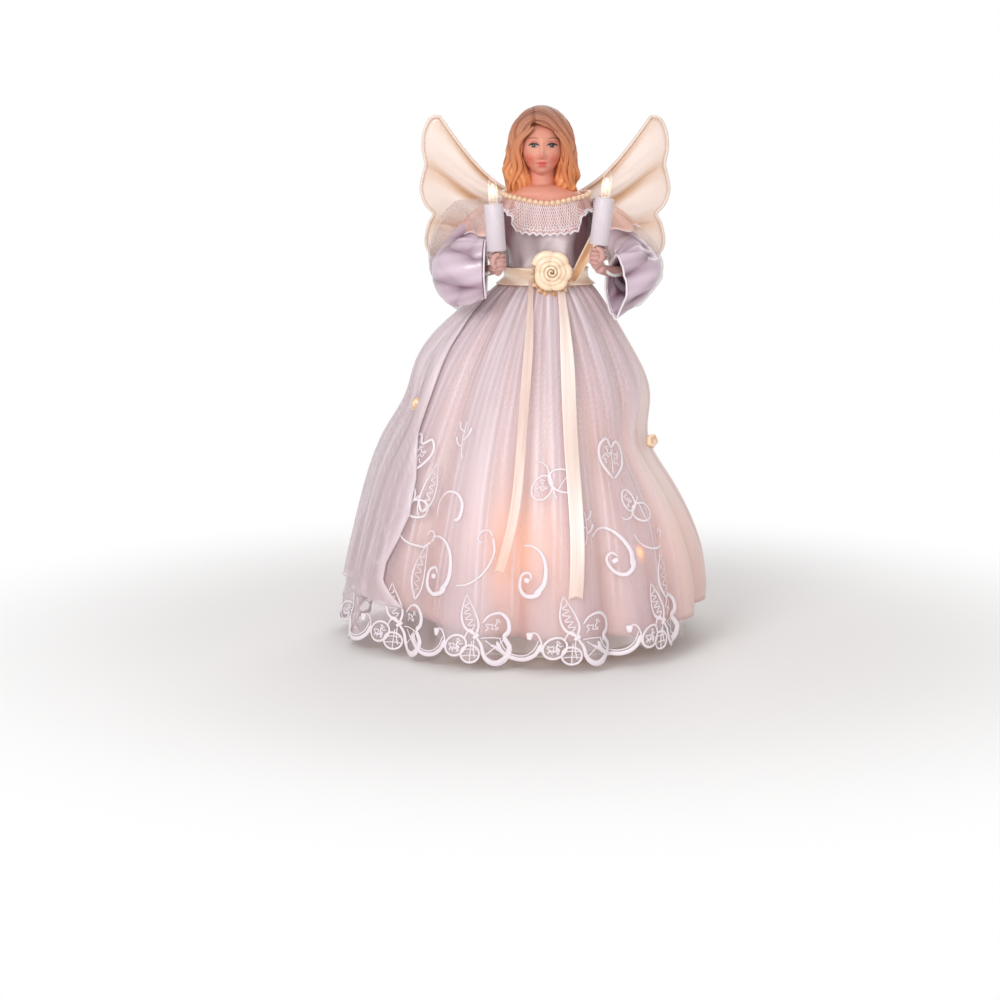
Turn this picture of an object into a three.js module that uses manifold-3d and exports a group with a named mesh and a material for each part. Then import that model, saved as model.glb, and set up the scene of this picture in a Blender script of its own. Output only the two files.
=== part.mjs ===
// An angel tree topper: a hollow cone that slips over the top shoot of a tree or stands on a table, dressed
// as an angel with satin and organza skirts, padded wings and two candle lamps, and lit by eight lamps in the
// skirt.
// Sizes are millimetres. +Z is up and the angel faces -Y. The origin is the centre of the cone's open rim.
// Left and right are as seen from the front, so left is -X.
import * as THREE from "three";
import { mergeVertices } from "three/addons/utils/BufferGeometryUtils.js";
import Module from "manifold-3d";

const wasm = await Module();
wasm.setup();

// Clearances and step counts shared by several pieces
const seatGap = 0.3; // between a piece and what it is seated on
const layerGap = 0.7; // between two layers of cloth
const cutOverrun = 2; // how far a cutting tool passes the face it cuts
const wireSides = 5;

// Cone
const coneBaseRadius = 60;
const coneTopRadius = 13;
const coneHeight = 196;
const coneWall = 1.2;
const coneRimWidth = 3.5;
const coneRimHeight = 1.6;
const coneSteps = 32;

// Torso form, which plugs into the top of the cone
const torsoHeight = 48;
const shoulderHalfWidth = 24.5;
const chestHalfDepth = 19;
const torsoPlugLength = 8;
const torsoBoreRadius = 5.5;
const torsoSteps = 20;
// Rows of height share, share of the shoulders' half-width, share of the chest's half-depth
const torsoShares = [
  [0, 0.85, 0.79],
  [0.14, 0.87, 0.8],
  [0.39, 0.92, 0.9],
  [0.62, 0.98, 1],
  [0.83, 1, 0.93],
  [0.93, 0.97, 0.87],
  [1, 0.91, 0.8],
];

// Bodice
const bodiceWall = 0.9;
const bodiceBottomShare = 0.1;

// Head, neck and bust, one moulding
const headOffset = -2.5; // the head sits a little to the left
const bustHeight = 11;
const bustEdgeHeight = 2.2;
const neckRadius = 8.2;
const crownHeight = 55.4; // from the bottom of the bust to the crown
const hairHalfWidth = 17.2;
const hairHalfDepth = 18.5;
const headSteps = 24;
const headRows = 18;
const crownGapShare = 0.17; // the last ring lies this share of a row under the crown
const neckTopShare = 0.39;
// The ellipsoids of the hair and face: place, then half-sizes, as shares of the hair's half-width and
// half-depth and of the crown's height
const headLumpShares = [
  [0, 0.06, 0.64, 1, 1, 0.36],
  [0, 0.3, 0.4, 1, 0.72, 0.42],
  [-0.72, -0.12, 0.3, 0.5, 0.46, 0.325],
  [0.7, -0.12, 0.3, 0.5, 0.46, 0.325],
  [-0.5, -0.15, 0.56, 0.54, 0.55, 0.325],
  [0.48, -0.15, 0.56, 0.54, 0.55, 0.325],
  [0, -0.4, 0.53, 0.65, 0.6, 0.267],
];

// Lace collar and the string of pearls that lies on its top edge
const collarWall = 0.8;
const collarFrontDrop = 18;
const collarSideDrop = 3.5;
const collarSideRise = 3.2; // the collar's top edge climbs over the shoulders
const collarFlare = 5;
const collarRuffle = 1;
const collarRuffles = 12;
const collarStepsPerRuffle = 3;
const collarRowShares = [0, 0.3, 0.65, 1];
const collarPanelShares = [0.5, 0.85]; // how far to the front the deep panel begins and reaches full depth
const pearlRadius = 1.6;
const pearlCount = 32;
const pearlSides = 5;
const pearlSteps = 3; // from one pearl to the next
const pearlThreadShare = 0.45;

// Skirts: how far they reach at the hem, left, right, in front and behind
const skirtLeft = 115;
const skirtRight = 96;
const skirtFront = 98;
const skirtBack = 98;
const skirtTopRise = 7; // above the top of the cone
const skirtFlarePower = 1.6;
const skirtWaistPower = 0.85;
const skirtWall = 0.8;
const foldCount = 12;
const foldDepthShare = 0.042; // of the skirt's radius
const foldWander = 0.12; // how far the folds stray from an even spacing, in radians
const underskirtHem = 16;
const underskirtLeftLift = 15;
const underskirtInset = 5;
const underskirtSteps = 48;
const underskirtRowShares = [0, 0.05, 0.14, 0.32, 0.55, 0.78, 1];
const overskirtHem = 0.8;
const overskirtRightLift = 9;
const overskirtSteps = 36;
const overskirtRowShares = [0, 0.05, 0.14, 0.28, 0.46, 0.66, 0.86, 1];
const scallopCount = 18;
const scallopDepth = 4;
// The overskirt is open at the right and behind: the angles of its two edges at the hem and at the waist
const frontEdgeAngles = { hem: -27, waist: 6 };
const backEdgeAngles = { hem: -298, waist: -324 };
const swagPuff = 5; // the organza puffs out above each rosette
const swagHeight = 26;
const swagAngle = 14;

// Sash, rose, bow loop and ribbon tails
const sashWidth = 9;
const sashWall = 0.8;
const sashDrop = 1.5; // how far the sash reaches below the skirts' top
const roseRadius = 10.8;
const roseDepth = 9;
const roseTurns = 3.5;
const rosePetalDepth = 1.7;
const roseCup = 2.7; // the rose's back edge stands this far in front of its middle
const roseOffset = 2.5;
const roseRise = 3; // above the middle of the sash
const roseFlatShare = 0.75; // how far the rose's front falls away from middle to edge
const roseRings = 10;
const roseSteps = 16;
const bowRibbonWidth = 8;
const bowLoopLength = 27;
const bowLoopDepth = 3.2;
const bowWall = 0.5;
const bowLoopAngle = 62; // above level
const bowOffset = 9.5; // from the middle of the rose
const bowSteps = 14;
const tailWall = 0.5;
const tailGap = 0.6;
const tailRows = 10;
const leftTailWidth = 5.5;
const leftTailTopX = -3.5;
const leftTailEndX = -27;
const leftTailEndHeight = 53;
const rightTailWidth = 7;
const rightTailTopX = 11.5;
const rightTailEndX = 15;
const rightTailEndHeight = 40;

// Rosettes that gather the overskirt at both sides
const rosetteRadius = 3.2;
const rosetteHalfDepth = 1.6;
const rosetteLift = 0.5; // over the highest fold beside it
const rosetteShares = [-1, -0.7, 0, 0.7, 1]; // heights of its rows as shares of its half-depth
const rosetteSteps = 8;
const leftRosetteAngle = 201;
const leftRosetteHeight = 136;
const rightRosetteAngle = -13;
const rightRosetteHeight = 115;

// Wings
const wingRootHeight = 31;
const wingRootRise = 1.7; // the root's top, above the top of the torso
const wingSpan = 60; // from the root to the outermost point
const wingHeight = 79; // from the lowest lobe to the tip
const wingFall = 31.5; // from the root's top to the lowest lobe
const wingPad = 4.6;
const wingPadPower = 0.7; // how steeply the padding rises from the root and the edge
const wingEdge = 0.9;
const wingSweepShare = 0.12; // backward travel as a share of the distance from the root
const wingTopSag = 8; // how far the top edge hangs below a straight line
const wingLobes = 3;
const wingLobeSteps = 6;
const wingRows = 6;
const wingWireRadius = 0.7;
const backingHalfWidth = 7;
const backingWall = 1.6;
// The outer edge from the tip to the lowest corner, as shares of span and height
const wingEdgeShares = [
  [0.86, 1],
  [0.93, 0.985],
  [0.985, 0.9],
  [1, 0.79],
  [0.975, 0.67],
  [0.995, 0.6],
  [1.02, 0.49],
  [0.98, 0.39],
  [0.9, 0.315],
  [0.95, 0.23],
  [0.975, 0.1],
  [0.9, 0.015],
  [0.74, 0],
];

// Arms: padded cores that end in moulded hands, each holding a candle lamp
const shoulderDrop = 6.3; // below the top of the torso
const shoulderEnd = 26.2; // half the breadth over the shoulders, where an arm begins
const armReach = 18;
const armForward = 42;
const armDrop = 34;
const armRadius = 4;
const armBoreRadius = 1.7;
const leadRadius = 0.9;
const armSteps = 10;
const armSides = 6;
const handRadius = 3.4;
const handSteps = 6;
const fistRadius = 5;
const fistHeight = 15;
const knuckleShare = 0.8; // the fist's top as a share of its radius
const handStartShare = 0.6; // of the arm's path, where the core ends and the hand begins
// Points of the arm's path as shares of reach, forward travel and drop
const armShares = [
  [0, 0, 0],
  [0.12, 0, 0],
  [0.5, 0.12, 0.22],
  [0.95, 0.33, 0.58],
  [0.95, 0.62, 0.82],
  [0.5, 0.88, 0.88],
  [0.08, 1, 0.86],
];
const leftCandleLean = 3.7;
const rightCandleLean = 7.1;
const rightCandleLift = 3.3; // the right candle stands higher than the left one

// Candles and the bulbs of all ten lamps
const candleHeight = 25.4;
const candleRadius = 5.2;
const candleWall = 1;
const candleDrop = 16.7; // the left candle's foot, below the shoulder
const candleSteps = 12;
const holderInset = 1.2; // the lamp holder ends this far inside both ends of the candle
const bulbBaseRadius = 2.4;
const bulbSeatDepth = 7.7; // how deep the base sits in its holder
const bulbBaseStand = 1.5; // how far the base stands out of its holder
const glassRadius = 2.6;
const glassLength = 16.5;
const bulbSteps = 6;
// The glass from its base to its tip, as shares of its radius and length
const glassShares = [
  [0.92, 0],
  [1, 0.1],
  [1, 0.55],
  [0.5, 0.86],
  [0, 1],
];

// Sleeves: rows of centre as shares of reach, forward travel and drop, then heading in degrees, then shares
// of the half-width and half-height
const sleeveHalfWidth = 12.5;
const sleeveHalfHeight = 20.5;
const sleeveWall = 0.9;
const sleeveSteps = 14;
const sleeveShares = [
  [0, 0, 0.02, 90, 0.8, 0.5],
  [0.48, 0.07, 0.18, 70, 0.96, 0.64],
  [1.02, 0.21, 0.44, 40, 1, 0.83],
  [1.15, 0.43, 0.67, 10, 0.96, 0.97],
  [0.98, 0.64, 0.82, -15, 0.8, 1],
  [0.72, 0.79, 0.87, -37, 0.66, 1],
];
const overSleeveHalfWidth = 17;
const overSleeveHalfHeight = 25;
const overSleeveShares = [
  [0, 0, 0.02, 90, 0.74, 0.48],
  [0.52, 0.06, 0.18, 70, 0.91, 0.66],
  [1.13, 0.19, 0.46, 40, 1, 0.86],
  [1.26, 0.4, 0.68, 10, 0.95, 1],
  [1.05, 0.61, 0.84, -15, 0.79, 0.98],
];
const cuffRadius = 0.8;

// Lamps in the skirt, pushed through holes in the cone: five low ones and three high ones
const lowLampHeight = 54;
const highLampHeight = 112;
const lampRows = [
  { height: lowLampHeight, count: 5, firstAngle: 114 },
  { height: highLampHeight, count: 3, firstAngle: 60 },
];
const lampHolderRadius = 3.6;
const lampHolderFloor = 1;
const lampHolderSteps = 8;
const lampCollarRadius = 4.6;
const lampCollarLength = 1.5;
const lampCollarGap = 0.6; // the flat collar's clearance from the round cone
const lampWireRadius = 0.8;
const lampWireSag = 6;
const lampWireStartHeight = 9; // the end where the supply lead joins
const lampWireWallGap = 1.6;
const lampWireSteps = 60;
const lampWireEndTurns = 1.25; // where it enters the torso, in turns from the right
const lampWireClimbShares = [0.35, 0.7, 1]; // of its way from the last lamp up to the torso

const radians = (degrees) => (degrees * Math.PI) / 180;
const mix = (a, b, share) => a + (b - a) * share;
const range = (count) => Array.from({ length: count }, (unused, i) => i);
const turnOf = (i, steps) => (i / steps) * 2 * Math.PI;
const smooth = (low, high, value) => THREE.MathUtils.smoothstep(value, low, high);

// Reads a table of shares at any value of its first column, by straight lines between its rows.
function readTable(table, value) {
  const found = table.findIndex((row) => row[0] >= value);
  const high = found < 0 ? table.length - 1 : Math.max(found, 1);
  const [a, b] = [table[high - 1], table[high]];
  const share = THREE.MathUtils.clamp((value - a[0]) / (b[0] - a[0]), 0, 1);
  return a.map((start, column) => mix(start, b[column], share));
}

const polar = (radius, angle, z) => [radius * Math.cos(angle), radius * Math.sin(angle), z];

// The distance from the middle of an ellipse to its edge, along an angle.
const ellipseRadius = (halfX, halfY, angle) =>
  1 / Math.hypot(Math.cos(angle) / halfX, Math.sin(angle) / halfY);

// Solids

// Turns a geometry's faces outwards, whichever way they were listed.
function facingOut(geometry) {
  const place = geometry.attributes.position;
  const index = geometry.index.array;
  const [a, b, c] = [new THREE.Vector3(), new THREE.Vector3(), new THREE.Vector3()];
  let volume = 0;
  for (let i = 0; i < index.length; i += 3) {
    a.fromBufferAttribute(place, index[i]);
    b.fromBufferAttribute(place, index[i + 1]);
    c.fromBufferAttribute(place, index[i + 2]);
    volume += a.dot(b.cross(c));
  }
  if (volume < 0) {
    for (let i = 0; i < index.length; i += 3) [index[i + 1], index[i + 2]] = [index[i + 2], index[i + 1]];
  }
  return geometry;
}

function geometryFrom(points, faces) {
  const geometry = new THREE.BufferGeometry();
  geometry.setAttribute("position", new THREE.Float32BufferAttribute(points.flat(), 3));
  geometry.setIndex(faces.flat());
  return facingOut(geometry);
}

// Two triangles for the cell between four corners.
const cell = (a, b, c, d) => [a, b, c, a, c, d];

// A solid between two grids of points of the same size. With closed true, each row runs round and meets
// itself.
function slab(front, back, closed) {
  const rows = front.length;
  const columns = front[0].length;
  const points = [...front.flat(), ...back.flat()];
  const at = (side, row, column) => (side * rows + row) * columns + (column % columns);
  const spans = closed ? columns : columns - 1;
  const faces = [];
  for (const row of range(rows - 1)) {
    for (const column of range(spans)) {
      const next = column + 1;
      faces.push(cell(at(0, row, column), at(0, row, next), at(0, row + 1, next), at(0, row + 1, column)));
      faces.push(cell(at(1, row, column), at(1, row + 1, column), at(1, row + 1, next), at(1, row, next)));
    }
  }
  for (const column of range(spans)) {
    const next = column + 1;
    const top = rows - 1;
    faces.push(cell(at(0, 0, next), at(0, 0, column), at(1, 0, column), at(1, 0, next)));
    faces.push(cell(at(0, top, column), at(0, top, next), at(1, top, next), at(1, top, column)));
  }
  if (!closed) {
    const end = columns - 1;
    for (const row of range(rows - 1)) {
      faces.push(cell(at(0, row, 0), at(0, row + 1, 0), at(1, row + 1, 0), at(1, row, 0)));
      faces.push(cell(at(0, row + 1, end), at(0, row, end), at(1, row, end), at(1, row + 1, end)));
    }
  }
  return geometryFrom(points, faces);
}

// A solid through closed rings of points, with a cap on the first and the last.
function loft(rings) {
  const count = rings[0].length;
  const middle = (ring) => [0, 1, 2].map((axis) => ring.reduce((sum, point) => sum + point[axis], 0) / count);
  const points = [...rings.flat(), middle(rings[0]), middle(rings.at(-1))];
  const [foot, top] = [rings.length * count, rings.length * count + 1];
  const faces = [];
  for (const i of range(count)) {
    const next = (i + 1) % count;
    for (const row of range(rings.length - 1)) {
      const [low, high] = [row * count, (row + 1) * count];
      faces.push(cell(low + i, low + next, high + next, high + i));
    }
    faces.push([foot, next, i], [top, foot - count + i, foot - count + next]);
  }
  return geometryFrom(points, faces);
}

// A closed ring of round section through the given centres. Each section's first axis points along its out
// vector, and radiusAt(step) gives its radius.
function ringTube(centres, outs, radiusAt, sides) {
  const steps = centres.length;
  const points = [];
  const faces = [];
  for (const step of range(steps)) {
    const ahead = centres[(step + 1) % steps].clone().sub(centres[(step + steps - 1) % steps]).normalize();
    const across = new THREE.Vector3().crossVectors(ahead, outs[step]).normalize();
    const out = new THREE.Vector3().crossVectors(across, ahead);
    for (const side of range(sides)) {
      const turn = turnOf(side, sides);
      const offset = out.clone().multiplyScalar(Math.cos(turn)).addScaledVector(across, Math.sin(turn));
      points.push(centres[step].clone().addScaledVector(offset, radiusAt(step)).toArray());
      const [here, there] = [step * sides, ((step + 1) % steps) * sides];
      const next = (side + 1) % sides;
      faces.push(cell(here + side, here + next, there + next, there + side));
    }
  }
  return geometryFrom(points, faces);
}

// A rod of round section along a curve.
function rod(curve, radius, steps, sides) {
  const section = new THREE.Shape(
    range(sides).map((i) => {
      const turn = turnOf(i, sides);
      return new THREE.Vector2(radius * Math.cos(turn), radius * Math.sin(turn));
    }),
  );
  return new THREE.ExtrudeGeometry(section, { extrudePath: curve, steps });
}

const curveThrough = (points) => new THREE.CatmullRomCurve3(points, false, "centripetal");

// Part of a longer curve, between two shares of its length.
class Stretch extends THREE.Curve {
  constructor(curve, from, to) {
    super();
    Object.assign(this, { curve, from, to });
  }
  getPoint(share, target) {
    return this.curve.getPointAt(mix(this.from, this.to, share), target);
  }
}

function solidOf(geometry) {
  const bare = geometry.clone();
  bare.deleteAttribute("normal");
  bare.deleteAttribute("uv");
  const merged = facingOut(mergeVertices(bare));
  return new wasm.Manifold(
    new wasm.Mesh({
      numProp: 3,
      vertProperties: merged.attributes.position.array,
      triVerts: new Uint32Array(merged.index.array),
    }),
  );
}

function geometryOf(solid) {
  const mesh = solid.getMesh();
  const geometry = new THREE.BufferGeometry();
  geometry.setAttribute("position", new THREE.BufferAttribute(mesh.vertProperties, 3));
  geometry.setIndex(new THREE.BufferAttribute(mesh.triVerts, 1));
  return geometry;
}

const ellipseRing = (halfX, halfY, z, steps) =>
  range(steps).map((i) => [halfX * Math.cos(turnOf(i, steps)), halfY * Math.sin(turnOf(i, steps)), z]);

// A solid of revolution about Z from points of radius and height.
const turned = (profile, steps) =>
  new THREE.LatheGeometry(
    profile.map(([radius, height]) => new THREE.Vector2(radius, height)),
    steps,
  ).rotateX(Math.PI / 2);

const cylinder = (radius, low, high, steps) =>
  new THREE.CylinderGeometry(radius, radius, high - low, steps)
    .rotateX(Math.PI / 2)
    .translate(0, 0, (low + high) / 2);

// Places a geometry that was made along +Z so that its origin is at a seat and it points outwards.
function standing(geometry, seat, outward) {
  const turn = new THREE.Quaternion().setFromUnitVectors(new THREE.Vector3(0, 0, 1), outward);
  return geometry.clone().applyQuaternion(turn).translate(...seat.toArray());
}

// Materials
const finish = (color, roughness) => new THREE.MeshStandardMaterial({ color, roughness });
const satin = finish("#e9dbe2", 0.35);
const organza = finish("#f3e6ea", 0.5);
const ivorySatin = finish("#ecdcc6", 0.35);
const lace = finish("#eee2e6", 0.85);
const skin = finish("#e0a592", 0.45);
const pearl = finish("#f0dcae", 0.2);
const whitePlastic = finish("#efeaf2", 0.45);
const milkyPlastic = finish("#ecebe6", 0.5);
const padding = finish("#e8e2da", 0.95);
const glass = finish("#fff1d6", 0.05);
const wireCover = finish("#f2f0ea", 0.5);
const card = finish("#efe9df", 0.9);

const topper = new THREE.Group();
function add(name, geometry, material) {
  const mesh = new THREE.Mesh(geometry, material);
  mesh.name = name;
  topper.add(mesh);
}

// Cone
const coneSlope = (coneBaseRadius - coneTopRadius) / coneHeight;
const coneTilt = Math.atan(coneSlope); // a lamp stands square to the wall, tipped up this much
const coneWallAcross = coneWall / Math.cos(coneTilt);
const coneRadiusAt = (z) => coneBaseRadius - coneSlope * z;
const bulbSocketDepth = bulbSeatDepth + seatGap;
const lampHolderTop = lampCollarGap + lampCollarLength;
const lampHolderInside = bulbSocketDepth + lampHolderFloor - lampHolderTop;

// The eight lamps, with each one's seat on the cone and the way it points
const lamps = lampRows.flatMap(({ height, count, firstAngle }) =>
  range(count).map((i) => {
    const angle = radians(firstAngle) + turnOf(i, count);
    const radius = coneRadiusAt(height);
    const seat = new THREE.Vector3(...polar(radius, angle, height));
    const outward = new THREE.Vector3(...polar(Math.cos(coneTilt), angle, Math.sin(coneTilt)));
    return { angle, seat, outward, height };
  }),
);

function cone() {
  const rimRadius = coneBaseRadius + coneRimWidth;
  const wall = turned(
    [
      [coneBaseRadius - coneWallAcross, 0],
      [rimRadius, 0],
      [rimRadius, coneRimHeight],
      [coneRadiusAt(coneRimHeight), coneRimHeight],
      [coneTopRadius, coneHeight],
      [coneTopRadius - coneWallAcross, coneHeight],
      [coneBaseRadius - coneWallAcross, 0],
    ],
    coneSteps,
  );
  const drill = cylinder(lampHolderRadius + seatGap, -lampHolderInside, lampHolderInside, lampHolderSteps);
  return lamps.reduce(
    (solid, lamp) => solid.subtract(solidOf(standing(drill, lamp.seat, lamp.outward))),
    solidOf(wall),
  );
}
add("cone", geometryOf(cone()), milkyPlastic);

// Torso form
const torsoBottom = coneHeight + seatGap;
const torsoTop = torsoBottom + torsoHeight;
const shoulderZ = torsoTop - shoulderDrop;
const torsoHeights = torsoShares.map(([share]) => torsoBottom + share * torsoHeight);

// The torso's half-width and half-depth at a height, made larger all round by extra.
function torsoHalf(z, extra = 0) {
  const [, width, depth] = readTable(torsoShares, (z - torsoBottom) / torsoHeight);
  return [shoulderHalfWidth * width + extra, chestHalfDepth * depth + extra];
}

// Opens the way for the lead that crosses the body from shoulder to shoulder.
const leadDrill = solidOf(
  new THREE.CylinderGeometry(armBoreRadius, armBoreRadius, 2 * shoulderEnd + cutOverrun, armSides)
    .rotateZ(Math.PI / 2)
    .translate(0, 0, shoulderZ),
);

function torsoForm() {
  const body = loft(torsoHeights.map((z) => ellipseRing(...torsoHalf(z), z, torsoSteps)));
  const plugRadius = coneTopRadius - coneWallAcross - seatGap;
  const plugBottom = torsoBottom - torsoPlugLength;
  const plug = cylinder(plugRadius, plugBottom, torsoBottom + cutOverrun, torsoSteps);
  const boreTop = shoulderZ + torsoBoreRadius;
  const bore = cylinder(torsoBoreRadius, plugBottom - cutOverrun, boreTop, torsoSteps / 2);
  return solidOf(body).add(solidOf(plug)).subtract(solidOf(bore)).subtract(leadDrill);
}
add("torso_form", geometryOf(torsoForm()), padding);

// Bodice, a satin tube over the torso
const bodiceOutside = seatGap + bodiceWall;
function bodice() {
  const bottom = torsoBottom + bodiceBottomShare * torsoHeight;
  const heights = [bottom, ...torsoHeights.filter((z) => z > bottom)];
  const rings = (extra) => heights.map((z) => ellipseRing(...torsoHalf(z, extra), z, torsoSteps));
  return solidOf(slab(rings(bodiceOutside), rings(seatGap), true)).subtract(leadDrill);
}
add("bodice", geometryOf(bodice()), satin);

// Head with its hair, neck and bust
const bustBottom = torsoTop + seatGap;
const bustHalf = torsoHalf(torsoTop);

// How far one ellipsoid of the head reaches from the head's axis, along an angle at a height above the bust.
function lumpReach([x, y, z, width, depth, height], angle, level) {
  const share = (level / crownHeight - z) / height;
  const room = 1 - share * share;
  if (room <= 0) return 0;
  const [dx, dy] = [Math.cos(angle) / (hairHalfWidth * width), Math.sin(angle) / (hairHalfDepth * depth)];
  const [cx, cy] = [x / width, y / depth];
  const [a, b, c] = [dx * dx + dy * dy, dx * cx + dy * cy, cx * cx + cy * cy - room];
  const inside = b * b - a * c;
  return inside <= 0 ? 0 : Math.max(0, (b + Math.sqrt(inside)) / a);
}

function head() {
  const crownGap = (crownGapShare * crownHeight) / headRows;
  const rings = [ellipseRing(...bustHalf, bustBottom, headSteps)];
  for (const row of range(headRows)) {
    const climb = Math.sin((row / (headRows - 1)) * (Math.PI / 2));
    const level = mix(bustEdgeHeight, crownHeight - crownGap, climb);
    const slope = THREE.MathUtils.clamp((level - bustEdgeHeight) / (bustHeight - bustEdgeHeight), 0, 1);
    const [width, depth] = bustHalf.map((half) => mix(neckRadius, half, Math.sqrt(1 - slope * slope)));
    const lumps = level > bustEdgeHeight ? headLumpShares : [];
    rings.push(
      range(headSteps).map((i) => {
        const angle = turnOf(i, headSteps);
        const neck = level > neckTopShare * crownHeight ? 0 : ellipseRadius(width, depth, angle);
        const radius = Math.max(neck, ...lumps.map((lump) => lumpReach(lump, angle, level)));
        return [headOffset * slope + radius * Math.cos(angle), radius * Math.sin(angle), bustBottom + level];
      }),
    );
  }
  return loft(rings);
}
add("head", head(), skin);

// Lace collar, deep in front and narrow over the shoulders and behind
const collarTopOut = pearlRadius + seatGap - collarWall / 2; // outside the bust's edge
const collarTopAt = (angle) => bustBottom + bustEdgeHeight + collarSideRise * Math.cos(angle) ** 2;

function collar() {
  const steps = collarRuffles * collarStepsPerRuffle;
  const grid = (wall) =>
    collarRowShares.map((share) =>
      range(steps).map((i) => {
        const angle = turnOf(i, steps);
        const panel = smooth(...collarPanelShares, -Math.sin(angle));
        const z = collarTopAt(angle) - share * mix(collarSideDrop, collarFrontDrop, panel);
        const overBust = bustHalf.map((half) => half + collarTopOut);
        const overBodice = torsoHalf(Math.min(z, torsoTop), bodiceOutside + seatGap);
        const [halfX, halfY] = overBust.map((half, axis) => Math.max(half, overBodice[axis]));
        const ruffle = collarRuffle * (1 + Math.cos(collarRuffles * angle));
        const out = wall + share * panel * (collarFlare * share + ruffle);
        const radius = ellipseRadius(halfX, halfY, angle) + out;
        return polar(radius, angle, z);
      }),
    );
  return slab(grid(collarWall), grid(0), true);
}
add("lace_collar", collar(), lace);

// String of pearls: one thread that swells at each pearl
function pearlString() {
  const steps = pearlSteps * pearlCount;
  const angles = range(steps).map((i) => turnOf(i, steps));
  const [halfX, halfY] = bustHalf.map((half) => half + pearlRadius + seatGap);
  const centres = angles.map((angle) => {
    const radius = ellipseRadius(halfX, halfY, angle);
    const z = collarTopAt(angle) + seatGap + pearlRadius;
    return new THREE.Vector3(...polar(radius, angle, z));
  });
  const outs = angles.map((angle) => new THREE.Vector3(...polar(1, angle, 0)));
  const radiusAt = (step) => (step % pearlSteps === 0 ? pearlThreadShare : 1) * pearlRadius;
  return ringTube(centres, outs, radiusAt, pearlSides);
}
add("pearl_string", pearlString(), pearl);

// Skirts
const skirtTop = coneHeight + skirtTopRise;
const waistHalf = torsoHalf(skirtTop, bodiceOutside + seatGap + 2 * skirtWall + layerGap);
const rosettes = [
  { name: "left", angle: radians(leftRosetteAngle), height: leftRosetteHeight },
  { name: "right", angle: radians(rightRosetteAngle), height: rightRosetteHeight },
];

// How far down the skirt a height lies, from 0 at the top to 1 at the cone's rim.
const skirtShare = (z) => THREE.MathUtils.clamp((skirtTop - z) / skirtTop, 0, 1);
const skirtFlare = (z) => 1 - (1 - skirtShare(z) ** skirtWaistPower) ** skirtFlarePower;

// The skirt's outer radius without folds.
function skirtRadius(angle, z) {
  const sideways = Math.cos(angle) < 0 ? skirtLeft : skirtRight;
  const lengthways = Math.sin(angle) < 0 ? skirtFront : skirtBack;
  const [waist, hem] = [ellipseRadius(...waistHalf, angle), ellipseRadius(sideways, lengthways, angle)];
  return mix(waist, hem, skirtFlare(z));
}
const foldDepth = (angle, z) => foldDepthShare * Math.sqrt(skirtShare(z)) * skirtRadius(angle, z);
const foldAt = (angle) => Math.cos(foldCount * (angle + foldWander * Math.sin(2 * angle + 1)));
const foldedRadius = (angle, z) => skirtRadius(angle, z) + foldDepth(angle, z) * foldAt(angle);

// The swags above the rosettes, each a round puff that fades sideways and upwards.
function swagAt(angle, z) {
  const puffs = rosettes.map((rosette) => {
    const beside = angle - rosette.angle;
    const away = Math.atan2(Math.sin(beside), Math.cos(beside)) / radians(swagAngle);
    const above = (z - rosette.height - swagHeight) / swagHeight;
    return Math.exp(-away * away - above * above);
  });
  return swagPuff * Math.max(...puffs);
}
const overskirtRadius = (angle, z) => foldedRadius(angle, z) + swagAt(angle, z);
// A smooth surface that no fold of the overskirt passes
const overskirtCrest = (angle, z) => skirtRadius(angle, z) + foldDepth(angle, z) + swagAt(angle, z);

function underskirt() {
  const grid = (inset) =>
    underskirtRowShares.map((share) =>
      range(underskirtSteps).map((i) => {
        const angle = turnOf(i, underskirtSteps);
        const hem = underskirtHem + underskirtLeftLift * Math.max(0, -Math.cos(angle)) ** 2;
        const z = mix(skirtTop, hem, share);
        return polar(foldedRadius(angle, z) - inset - underskirtInset * skirtFlare(z), angle, z);
      }),
    );
  const outside = skirtWall + layerGap;
  return slab(grid(outside), grid(outside + skirtWall), true);
}
add("underskirt", underskirt(), satin);

function overskirt() {
  const grid = (inset) =>
    overskirtRowShares.map((share) =>
      range(overskirtSteps + 1).map((i) => {
        const first = mix(frontEdgeAngles.waist, frontEdgeAngles.hem, share);
        const last = mix(backEdgeAngles.waist, backEdgeAngles.hem, share);
        const angle = radians(mix(first, last, i / overskirtSteps));
        const scallop = (scallopDepth * (1 - Math.cos(turnOf(i * scallopCount, overskirtSteps)))) / 2;
        const hem = overskirtHem + overskirtRightLift * Math.max(0, Math.cos(angle)) ** 2 + scallop;
        const z = mix(skirtTop, hem, share);
        return polar(overskirtRadius(angle, z) - inset, angle, z);
      }),
    );
  return slab(grid(0), grid(skirtWall), false);
}
add("overskirt", overskirt(), organza);

// Rosettes
function rosette({ angle, height }) {
  const rows = rosetteShares.map((share) => [
    rosetteRadius * Math.sqrt(1 - share * share),
    rosetteHalfDepth * share,
  ]);
  const away = overskirtRadius(angle, height) + seatGap + rosetteLift + rosetteHalfDepth;
  const seat = new THREE.Vector3(...polar(away, angle, height));
  return standing(turned(rows, rosetteSteps), seat, new THREE.Vector3(...polar(1, angle, 0)));
}
for (const place of rosettes) add(`rosette_${place.name}`, rosette(place), pearl);

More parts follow.
